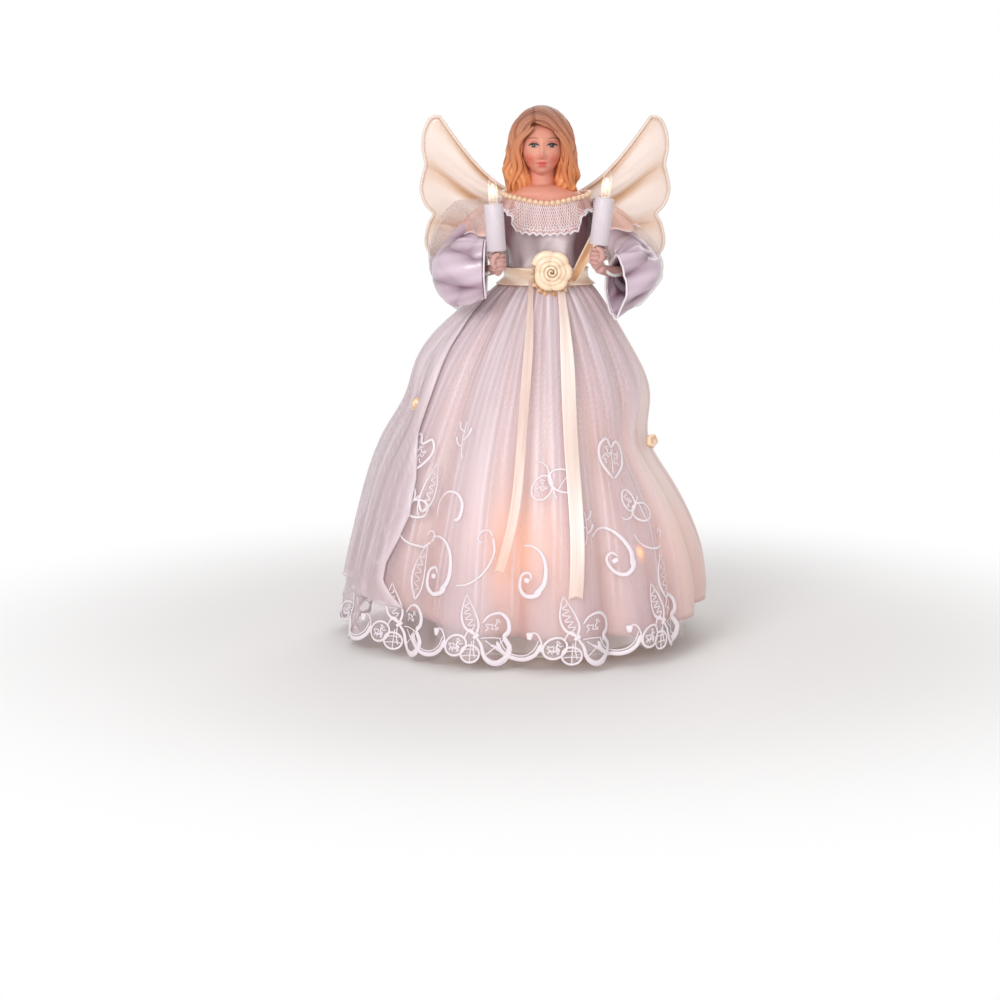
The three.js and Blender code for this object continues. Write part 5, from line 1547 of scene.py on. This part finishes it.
for label, foot in candle_feet.items():
    seat = foot + holder_top * candle_ups[label]
    lamp(f"candle_lamp_{label}", seat, candle_ups[label], f"{label}_candle_bulb", f"candle_bulb_{label}")
for number, (middle, outward) in enumerate(zip(lamps, lamp_outwards), 1):
    seat = middle - (base_stand + glass_length - seat_depth) / 2 * outward
    lamp(f"skirt_lamp_{number}", seat, outward, f"skirt_bulb_{number}", f"lamp_bulb_{number}")
print("ten lamps made")

# %% [markdown]
# ## Head
#
# The head, neck and bust are one hollow vinyl moulding with painted features. The face is an egg shape.
# Each feature is a smooth bump or hollow: a small bell curve at a place on the face, so that nose, lips,
# chin, cheeks and eye sockets can be moved and sized one by one.


# %% Face shape
face_middle = np.array([-2.7, -7.0, 274.2])
face_half = np.array([11.1, 11.0, 15.2])
chin_depth = 12.9
# x and z from the middle of the face, widths, and height of each bump in mm
features = np.array(
    [
        [0.0, -10.1, 3.4, 2.2, 1.5],
        [0.0, -2.2, 1.7, 2.0, 2.7],
        [0.0, 1.8, 1.35, 3.4, 1.25],
        [-1.9, -2.8, 0.9, 0.9, 0.9],
        [1.9, -2.8, 0.9, 0.9, 0.9],
        [0.0, -5.6, 2.4, 0.8, 1.15],
        [0.0, -6.5, 3.0, 0.32, -0.75],
        [0.0, -7.5, 2.0, 0.85, 1.15],
        [0.0, -9.2, 2.8, 0.9, -0.65],
        [-4.9, 4.1, 2.7, 1.9, -1.55],
        [4.9, 4.1, 2.7, 1.9, -1.55],
        [-4.9, 3.9, 1.8, 1.15, 0.95],
        [4.9, 3.9, 1.8, 1.15, 0.95],
        [0.0, 7.2, 7.5, 1.6, 0.5],
        [-6.3, -3.4, 3.2, 2.8, 0.8],
        [6.3, -3.4, 3.2, 2.8, 0.8],
        [0.0, -4.6, 0.45, 0.8, -0.35],
    ]
)


def bumps(x, z):
    """The sum of the features' bell curves at a place on the face."""
    across = (x[..., None] - face_middle[0] - features[:, 0]) / features[:, 2]
    up = (z[..., None] - face_middle[2] - features[:, 1]) / features[:, 3]
    return (features[:, 4] * np.exp(-(across**2) - up**2)).sum(-1)


def jaw(rise):
    """The face narrows towards the chin: 1 - 0.34 (-rise)^1.6 below the middle."""
    return 1 - 0.34 * np.clip(-rise, 0, 1) ** 1.6


def face_front(x, z, lift=0.0):
    """The point on the front of the face at x and z, raised by lift."""
    rise = (z - face_middle[2]) / np.where(z < face_middle[2], chin_depth, face_half[2])
    ring = np.sqrt(np.clip(1 - np.abs(rise) ** 2.2, 0, 1))
    sideways = (x - face_middle[0]) / np.maximum(face_half[0] * jaw(rise) * ring, 1e-6)
    depth = np.sqrt(np.clip(1 - sideways**2, 0, 1)) * face_half[1] * ring
    return points_of(x, face_middle[1] - depth - bumps(x, z) - lift, z)


# %% Head moulding
rows, columns = 120, 160
up = np.linspace(-np.pi / 2, np.pi / 2, rows)[:, None]
turn = full_turn(columns)
rise = np.sin(up)
ring = np.sqrt(np.clip(1 - np.abs(rise) ** 2.2, 0, 1))
x = face_middle[0] + face_half[0] * jaw(rise) * ring * np.cos(turn)
z = face_middle[2] + np.where(rise < 0, chin_depth, face_half[2]) * rise
depth = face_half[1] * ring * np.sin(turn)
front = smoothstep(0.0, -0.35, np.sin(turn))
face = points_of(x, face_middle[1] + depth - bumps(x, z) * front, z)
beside = x - face_middle[0]
cheek = hump(np.abs(beside), 6.6, 3.2) * hump(z, 270.4, 3.0)
nose_tip = hump(beside, 0, 1.6) * hump(z, 271.8, 1.4)
brow_shade = hump(np.abs(beside), 5, 3.0) * hump(z, 279.6, 1.5)
# Besides the painted blush on cheeks and nose tip, this number darkens the skin round the brows: painted
# shade.
blush_face = front * (0.75 * cheek + 0.5 * nose_tip + 0.35 * brow_shade) + 0.18
upper = np.exp(-(((z - 268.4 + 0.05 * beside**2) / 0.85) ** 4) - (beside / 2.9) ** 4)
lower = np.exp(-(((z - 266.9 - 0.06 * beside**2) / 0.9) ** 4) - (beside / 2.4) ** 4)
lips_face = front * np.maximum(upper, lower)

bust_half = torso_half(torso_top)
neck_top = np.array([-2.6, -1.4, 268.0])
levels = np.linspace(0, 1, rows)[:, None]
z_bust = mix(bust_bottom, neck_top[2], levels**1.3)
slope = np.clip((z_bust - bust_bottom - 2.2) / 9.5, 0, 1)
curve = np.sqrt(1 - slope**2)
collarbone = 0.5 * hump(z_bust, 251.5, 1.6) * np.abs(np.cos(turn)) ** 0.6
half_x, half_y = mix(7.6, bust_half[0], curve), mix(7.4, bust_half[1], curve)
radius = oval(half_x, half_y, turn) + collarbone
bust = polar(radius, turn, z_bust) + slope[..., None] * (neck_top * [1, 1, 0])
bust[0] = [0, 0, bust_bottom]
bust[-1] = neck_top
face[0], face[-1] = face[0].mean(0), face[-1].mean(0)
head = surface(
    "head_moulding",
    np.array([face, bust]),
    wrap=True,
    closed=True,
    blush=np.array([blush_face, 0.28 + 0 * radius]),
    lips=np.array([lips_face, 0 * radius]),
)
finish_piece(head, "figure", vinyl, ["head"])
print("face from", round(float(face[..., 2].min())), "to", round(float(face[..., 2].max())), "mm high")

# %% [markdown]
# The eyes, lids, brows and lashes are painted on. Each is a thin film of paint that follows the face, a
# few hundredths of a millimetre above it.

# %% Painted eyes and brows
eye_white = plain("eye_white_paint", "#c4a89c", 0.3)
iris_paint = plain("grey_brown_iris_paint", "#40362b", 0.2)
dark_paint = plain("dark_line_paint", "#241410", 0.35)
brow_paint = plain("brown_brow_paint", "#a0604f", 0.5)
highlight = plain("white_highlight_paint", "#ffffff", 0.2)


def spot(name, x, z, half_x, half_z, lift, material, lid=1.0):
    """An oval film of paint. lid flattens its upper half. Its middle stands a little above its edge."""
    reach = np.linspace(0, 1, 8)[:, None]
    turn = full_turn(32)
    up = np.sin(turn)
    at_x = x + half_x * reach * np.cos(turn)
    at_z = z + half_z * reach * np.where(up > 0, lid * up, up)
    points = face_front(at_x, at_z, lift * (1.0 - 0.6 * reach**4))
    made = surface(name, points, wrap=True, closed=True)
    return finish_piece(made, "figure", material)


def line_of_paint(name, knots, wide, lift, material):
    """A painted line through (x, z) points that tapers to both ends."""
    line = smooth_path(knots, 30)
    width = wide * np.sin(np.linspace(0.12, np.pi - 0.12, 30)) ** 0.8
    across = np.linspace(-0.5, 0.5, 5)[:, None]
    grid = line[:, None] + across * width[:, None, None] * leftward(line)[:, None]
    points = face_front(grid[..., 0], grid[..., 1], lift)
    made = surface(name, points)
    return finish_piece(made, "figure", material, thickness=0.05)


eye_middle, eye_spread, eye_height = face_middle[0] + 0.6, 5.0, 277.6
for label, side in sides.items():
    x, z = eye_middle + side * eye_spread, eye_height
    spot(f"eye_{label}_white", x, z - 0.1, 2.4, 0.85, 0.1, eye_white)
    spot(f"eye_{label}_iris", x, z + 0.05, 1.45, 0.95, 0.16, iris_paint)
    spot(f"eye_{label}_pupil", x, z + 0.1, 1.0, 0.8, 0.2, dark_paint)
    spot(f"eye_{label}_highlight", x - 0.35, z + 0.4, 0.2, 0.2, 0.24, highlight)
    lid = [(x - 3.1, z + 0.1), (x - 1.5, z + 0.85), (x, z + 1.05), (x + 1.5, z + 0.85), (x + 3.1, z + 0.1)]
    line_of_paint(f"eye_{label}_lid", lid, 1.15, 0.22, dark_paint)
    under = [(x - 2.2, z - 0.4), (x, z - 0.95), (x + 2.2, z - 0.4)]
    line_of_paint(f"eye_{label}_under", under, 0.35, 0.16, brow_paint)
    crease_line = [(x - side * 2.2, z + 1.6), (x, z + 2.3), (x + side * 2.8, z + 1.2)]
    line_of_paint(f"eye_{label}_crease", crease_line, 0.25, 0.14, brow_paint)
    brow = [(x - side * 2.6, z + 3.7), (x, z + 4.3), (x + side * 3.4, z + 4.0)]
    line_of_paint(f"brow_{label}", brow, 0.5, 0.14, brow_paint)
print("face painted")

# %% [markdown]
# ## Hair
#
# The hair is moulded with the head: thick locks that part in the middle and fall in waves to the shoulders.
# The mass of the hair is a union of six egg shapes, the same ones as in the measured model. The locks are
# waves in its surface, and a window with a soft edge lets the face out. The edge follows the hairline, which
# is a short list of points down each side of the face.

# %% Painted hair
hair_paint, tree = new_material("painted_hair")
place = add_node(tree, "TexCoord")
split = add_node(tree, "SeparateXYZ", {"Vector": place.outputs["Object"]})
# Painted candlelight and painted shade: the locks are painted a brighter orange low down, where the candles
# light them, and a duller brown towards the crown.
painted_light_by_height = add_node(tree, "MapRange", {"Value": split.outputs["Z"], "From Min": 0.262, "From Max": 0.297})
light_lock = blend(tree, painted_light_by_height.outputs["Result"], linear("#ee9c62"), linear("#b37b63"))
dark_lock = blend(tree, painted_light_by_height.outputs["Result"], linear("#b0572c"), linear("#7d4a3c"))
fine = cloth_noise(tree, (2.2, 0.12, 1), 3.0)
depth = reckon(tree, "MULTIPLY_ADD", fine, 0.5, mark(tree, "shade"))
depth = reckon(tree, "SUBTRACT", depth, 0.2, clamp=True)
colour, normal = blend(tree, depth, light_lock, dark_lock), bumpy(tree, fine, 0.4, 0.2)
principled(tree, {"Base Color": colour, "Roughness": 0.5, "Normal": normal})

# %% Mass of the hair
crown_height = 55.4
hair_half = np.array([17.2, 18.5])
hair_lumps = np.array(
    [
        [0, 0.06, 0.64, 1, 1, 0.36],
        [0, 0.3, 0.4, 1, 0.72, 0.42],
        [-0.72, -0.12, 0.3, 0.5, 0.46, 0.325],
        [0.7, -0.12, 0.3, 0.5, 0.46, 0.325],
        [-0.5, -0.15, 0.56, 0.54, 0.55, 0.325],
        [0.48, -0.15, 0.56, 0.54, 0.55, 0.325],
    ]
)
head_axis_x = -2.7
softer = 9.0


def lump_reach(turn, level):
    """How far each egg reaches from the head's axis: the far root of |p/size - centre| = 1 along a ray."""
    x, y, z, width, deep, tall = np.moveaxis(hair_lumps, -1, 0)
    room = 1 - ((level[..., None] / crown_height - z) / tall) ** 2
    dx = np.cos(turn)[..., None] / (hair_half[0] * width)
    dy = np.sin(turn)[..., None] / (hair_half[1] * deep)
    cx, cy = x / width, y / deep
    a, b, c = dx**2 + dy**2, dx * cx + dy * cy, cx**2 + cy**2 - room
    inside = b * b - a * c
    return np.where((inside > 0) & (room > 0), (b + np.sqrt(np.maximum(inside, 0))) / a, 0).clip(0)


def hair_mass(turn, z):
    """The radius of the union of the eggs, with soft seams: the sum of reach^9, to the power 1/9."""
    return (lump_reach(turn, z - bust_bottom) ** softer).sum(-1) ** (1 / softer)


hairline_heights = np.array([246.0, 248.7, 252.1, 256.5, 260.9, 268.3, 272.3, 282.3, 287, 290.7])
hairline_left = np.array([-11.4, -10.7, -6.8, -6.4, -9.4, -12.5, -14.0, -12.9, -10.6, -7.7])
hairline_right = np.array([7.8, 7.2, 5.6, 5.0, 5.3, 6.9, 8.2, 7.4, 2.0, -7.7])

hair_rows, hair_columns = 200, 320
climb = np.linspace(0, 1, hair_rows)[:, None]
z = mix(246.6, bust_bottom + crown_height * 0.9985, np.sin(climb * np.pi / 2) ** 0.9)
turn, z = np.broadcast_arrays(np.linspace(0, 2 * np.pi, hair_columns, endpoint=False), z)
mass = hair_mass(turn, z)
fade = smoothstep(0, 6, mass)
x0, y0 = head_axis_x + mass * np.cos(turn), mass * np.sin(turn)
wave = np.sin(0.3 * (z - 250) + 2.2 * np.cos(2 * turn) + 0.6 * np.sign(x0 + 3))
from_face = np.where(z > 272, np.hypot((x0 + 3) / 11.5, (z - 272) / 17.0), np.abs(x0 + 3) / 11.5)
swept = 3.7 * from_face + 0.62 * wave * smoothstep(292, 262, z) + 0.05 * x0 * smoothstep(278, 292, z)
combed = 10 * turn / np.pi + 0.3 * np.sin(0.3 * (z - 250) + 0.9 * np.sin(2 * turn))
front_share = smoothstep(0.45, -0.15, np.sin(turn))
course = mix(combed, swept, front_share)
sharp = np.abs(np.sin(np.pi * course)) ** 0.8
locks = mix(sharp, 0.6 - 0.4 * np.cos(2 * np.pi * course), 0.75 * smoothstep(282, 262, z))
strands = np.abs(np.sin(3.0 * np.pi * course + 0.9 * wave)) ** 0.8
curls = smoothstep(280, 256, z) * np.cos(3.0 * turn + 0.36 * (z - 250) + 3.0 * np.sin(turn + 0.1 * z))
parting = hump(x0, -7.2 - 0.12 * (z - 290), 1.0) * smoothstep(288, 292, z) * (y0 < 6)
relief = 0.9 * (locks - 0.6) + 0.28 * (strands - 0.5) + 1.1 * curls - 1.2 * parting
relief = relief * fade * smoothstep(300.2, 297, z)
radius = mass + relief - 0.2
x, y = head_axis_x + radius * np.cos(turn), radius * np.sin(turn)
left_line = np.interp(z, hairline_heights, hairline_left)
right_line = np.interp(z, hairline_heights, hairline_right)
inside = smoothstep(-0.5, 1.3, x - left_line) * smoothstep(-0.5, 1.3, right_line - x)
window = inside * smoothstep(0, -4, y) * smoothstep(291.5, 289, z)
edge_roll = 4 * window * (1 - window)
behind = np.minimum(np.abs(y) * 0.75, 6.5)
y = y + window * behind - 0.9 * edge_roll
hair_points = points_of(x, y, z)
hair_points[-1] = hair_points[-1].mean(0)
hair = surface(
    "moulded_hair",
    hair_points,
    wrap=True,
    closed=True,
    weave=(110, 70),
    shade=0.7 * (1 - locks) + 0.4 * (1 - strands) - 0.2 * curls + 0.5 * parting + 0.3 * window,
)
finish_piece(hair, "figure", hair_paint)
print("hair from", z.min().round(1), "to", z.max().round(1), "mm")

# %% [markdown]
# Four locks stand clear of the mass. They are tapered cords that start near the parting, follow the
# hairline at a few millimetres' distance and run out above the shoulders.


# %% Loose locks
def on_hair(turn, z, lift):
    """A point on the mass of the hair at an angle and a height, raised by lift."""
    return polar(hair_mass(turn, z) + lift, turn, z) + [head_axis_x, 0, 0]


lock_heights, lock_spreads = [246, 262, 272, 282, 288], np.radians([54, 50, 42, 36, 18])
lock_grids = []
for side, offset, top, low, swing in (
    (-1, 0.8, 288, 250, 0.0),
    (-1, 3.0, 289, 253, 0.5),
    (1, 0.9, 286, 250, 0.8),
    (1, 3.1, 288, 253, 1.3),
):
    t = np.linspace(0, 1, 50)
    height = mix(top, low, t)
    spread = np.interp(height, lock_heights, lock_spreads)
    spread = spread + np.radians(3.2 * offset + 4 * np.sin(0.3 * (height - 250) + swing))
    line = on_hair(-np.pi / 2 + side * spread, height, 0.2 + 0.5 * np.sin(np.pi * t))
    outward = unit((line - [head_axis_x, 0, 0]) * [1, 1, 0])
    thick = 1.25 * np.sin(np.pi * np.clip(t * 0.93 + 0.03, 0, 1)) ** 0.6
    lock_grids.append(capped(sweep(line, outward, circle(12) * [1.7, 0.75], thick)))
locks = surface(
    "loose_locks",
    np.array(lock_grids),
    wrap=True,
    closed=True,
    weave=(12, 60),
    shade=0.25 + 0.3 * np.cos(full_turn(12)) ** 2,
)
finish_piece(locks, "figure", hair_paint)

# %% [markdown]
# ## Lace collar and pearls
#
# A ruffled lace collar lies over the shoulders, deep in front. The front panel is net with diagonal threads
# a little over 1 mm apart and a row of leaves. Stitched lines follow its scalloped edge and its neckline and
# leave out the back, under the hair. A string of pearls trims the neckline.

# %% Collar
collar_steps, collar_rows = 480, 26
turn = full_turn(collar_steps)


def neckline(turn):
    """The height of the collar's upper edge: bust bottom + 2.2 + 3.2 cos^2."""
    return bust_bottom + 2.2 + 3.2 * np.cos(turn) ** 2


def collar_point(turn, share, lift=0.0):
    """The collar's surface: share 0 at the neckline, 1 at the lower edge. The ruffles grow downwards."""
    panel = smoothstep(0.5, 0.85, -np.sin(turn))
    drop = mix(8.5, 18.0, panel)
    scallop = 0.9 * np.abs(np.sin(21 * turn)) * share**4
    z = neckline(turn) - share * drop + 1.5 * scallop
    over_bust = torso_half(torso_top, 1.5)
    over_bodice = torso_half(np.minimum(z, torso_top), 1.4)
    half_x = np.maximum(over_bust[0], over_bodice[0])
    half_y = np.maximum(over_bust[1], over_bodice[1])
    gather = np.cos(22 * turn + 1.2 * np.sin(5 * turn))
    flare = share * (2.2 + 3.2 * panel * share) + 1.25 * share * gather * (1 - 0.62 * panel)
    return polar(oval(half_x, half_y, turn) + flare + lift, turn, z), gather


share = np.linspace(0, 1, collar_rows)[:, None]
points, gather = collar_point(turn, share)
lace_net = organza("pink_lace_net", "#e8cac6", "#dfa79c", thread=0.9, glow=0.04)
collar = surface(
    "lace_collar_net", points, wrap=True, weave=(150, 14), veil=0.42 + 0.2 * (0.5 - 0.5 * gather)
)
finish_piece(collar, "figure", lace_net, ["lace_collar"], thickness=0.3)


def lace_thread(turns, shares, half_width):
    """A thread on the collar through angles and shares: its points, and its half width at each."""
    return np.column_stack([collar_point(turns, shares, 0.35)[0], half_width + 0 * turns])


threads = []
for diagonal in np.arange(-14, 15):
    for slant in (-1, 1):
        s = np.linspace(0.04, 0.8, stitch_steps)
        middle = np.radians(-90 + 3.6 * diagonal)
        at = middle + slant * np.radians(18) * (s - 0.42)
        threads.append(lace_thread(at, s, 0.16))
for row, width in ((1.0, 0.55), (0.86, 0.3), (0.02, 0.5)):
    for part in np.r_[0:2, 10:24]:
        at = np.linspace(part, part + 1.0, stitch_steps) / 24 * 2 * np.pi
        threads.append(lace_thread(at, np.full(stitch_steps, row), width))
for leaf_at in np.radians([-118, -110, -100, -90, -80, -70, -62]):
    for side in (-1, 1):
        t = np.linspace(0, 1, stitch_steps)
        at = leaf_at + side * np.radians(2.6) * np.sin(np.pi * t)
        threads.append(lace_thread(at, 0.74 + 0.2 * t, 0.34 * np.sin(np.pi * t) ** 0.5))
path, width = np.split(np.array(threads), [3], axis=-1)
outward = unit(path * [1, 1.3, 0])
tube = sweep(path, outward, circle(6), width[..., 0])
lace = surface("lace_stitching", tube, wrap=True)
finish_piece(lace, "figure", rayon_thread)
print(len(path), "lace threads")

# %% Pearls
pearl_count, pearl_radius = 42, 1.6
half_x, half_y = torso_half(torso_top, 2.0)
fine = np.linspace(0, 2 * np.pi, 721)
ring = polar(oval(half_x, half_y, fine), fine, 0)
run = np.r_[0, np.cumsum(np.linalg.norm(np.diff(ring, axis=0), axis=1))]
turn = np.interp((np.arange(pearl_count) + 0.5) / pearl_count * run[-1], run, fine)
height = neckline(turn) + 1.9
height = height - 1.6 * smoothstep(0.2, -0.5, np.sin(turn)) - 0.8 * np.maximum(0, -np.sin(turn)) ** 4
centres = polar(oval(half_x, half_y, turn), turn, height)
latitude = np.linspace(-np.pi / 2, np.pi / 2, 11)[:, None]
longitude = full_turn(18)
ball = polar(np.cos(latitude), longitude, np.sin(latitude))
beads = centres[:, None, None] + pearl_radius * ball
pearls = surface("pearl_beads", beads, wrap=True, closed=True)
finish_piece(pearls, "figure", pearl_lustre, ["pearl_string"])
print(pearl_count, "pearls on a line of", round(float(run[-1])), "mm")

# %% [markdown]
# ## Parts that stay as measured
#
# The cone, the lamp holders, the wires and the card strip keep the shapes of the measured model. They only
# get their finishes.

# %% Finishes for the measured parts
finishes = {
    "cone": cone_plastic,
    "candle_holder": holder_plastic,
    "lamp_holder": holder_plastic,
    "lamp_wire": wire_cover,
    "candle_wire": wire_cover,
    "arm_lead": wire_cover,
    "wing_backing": white_card,
}
for name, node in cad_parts.items():
    for start, material in finishes.items():
        if name.startswith(start):
            if not node.material_slots:
                node.data.materials.append(material)
            for place in node.material_slots:
                place.material = material
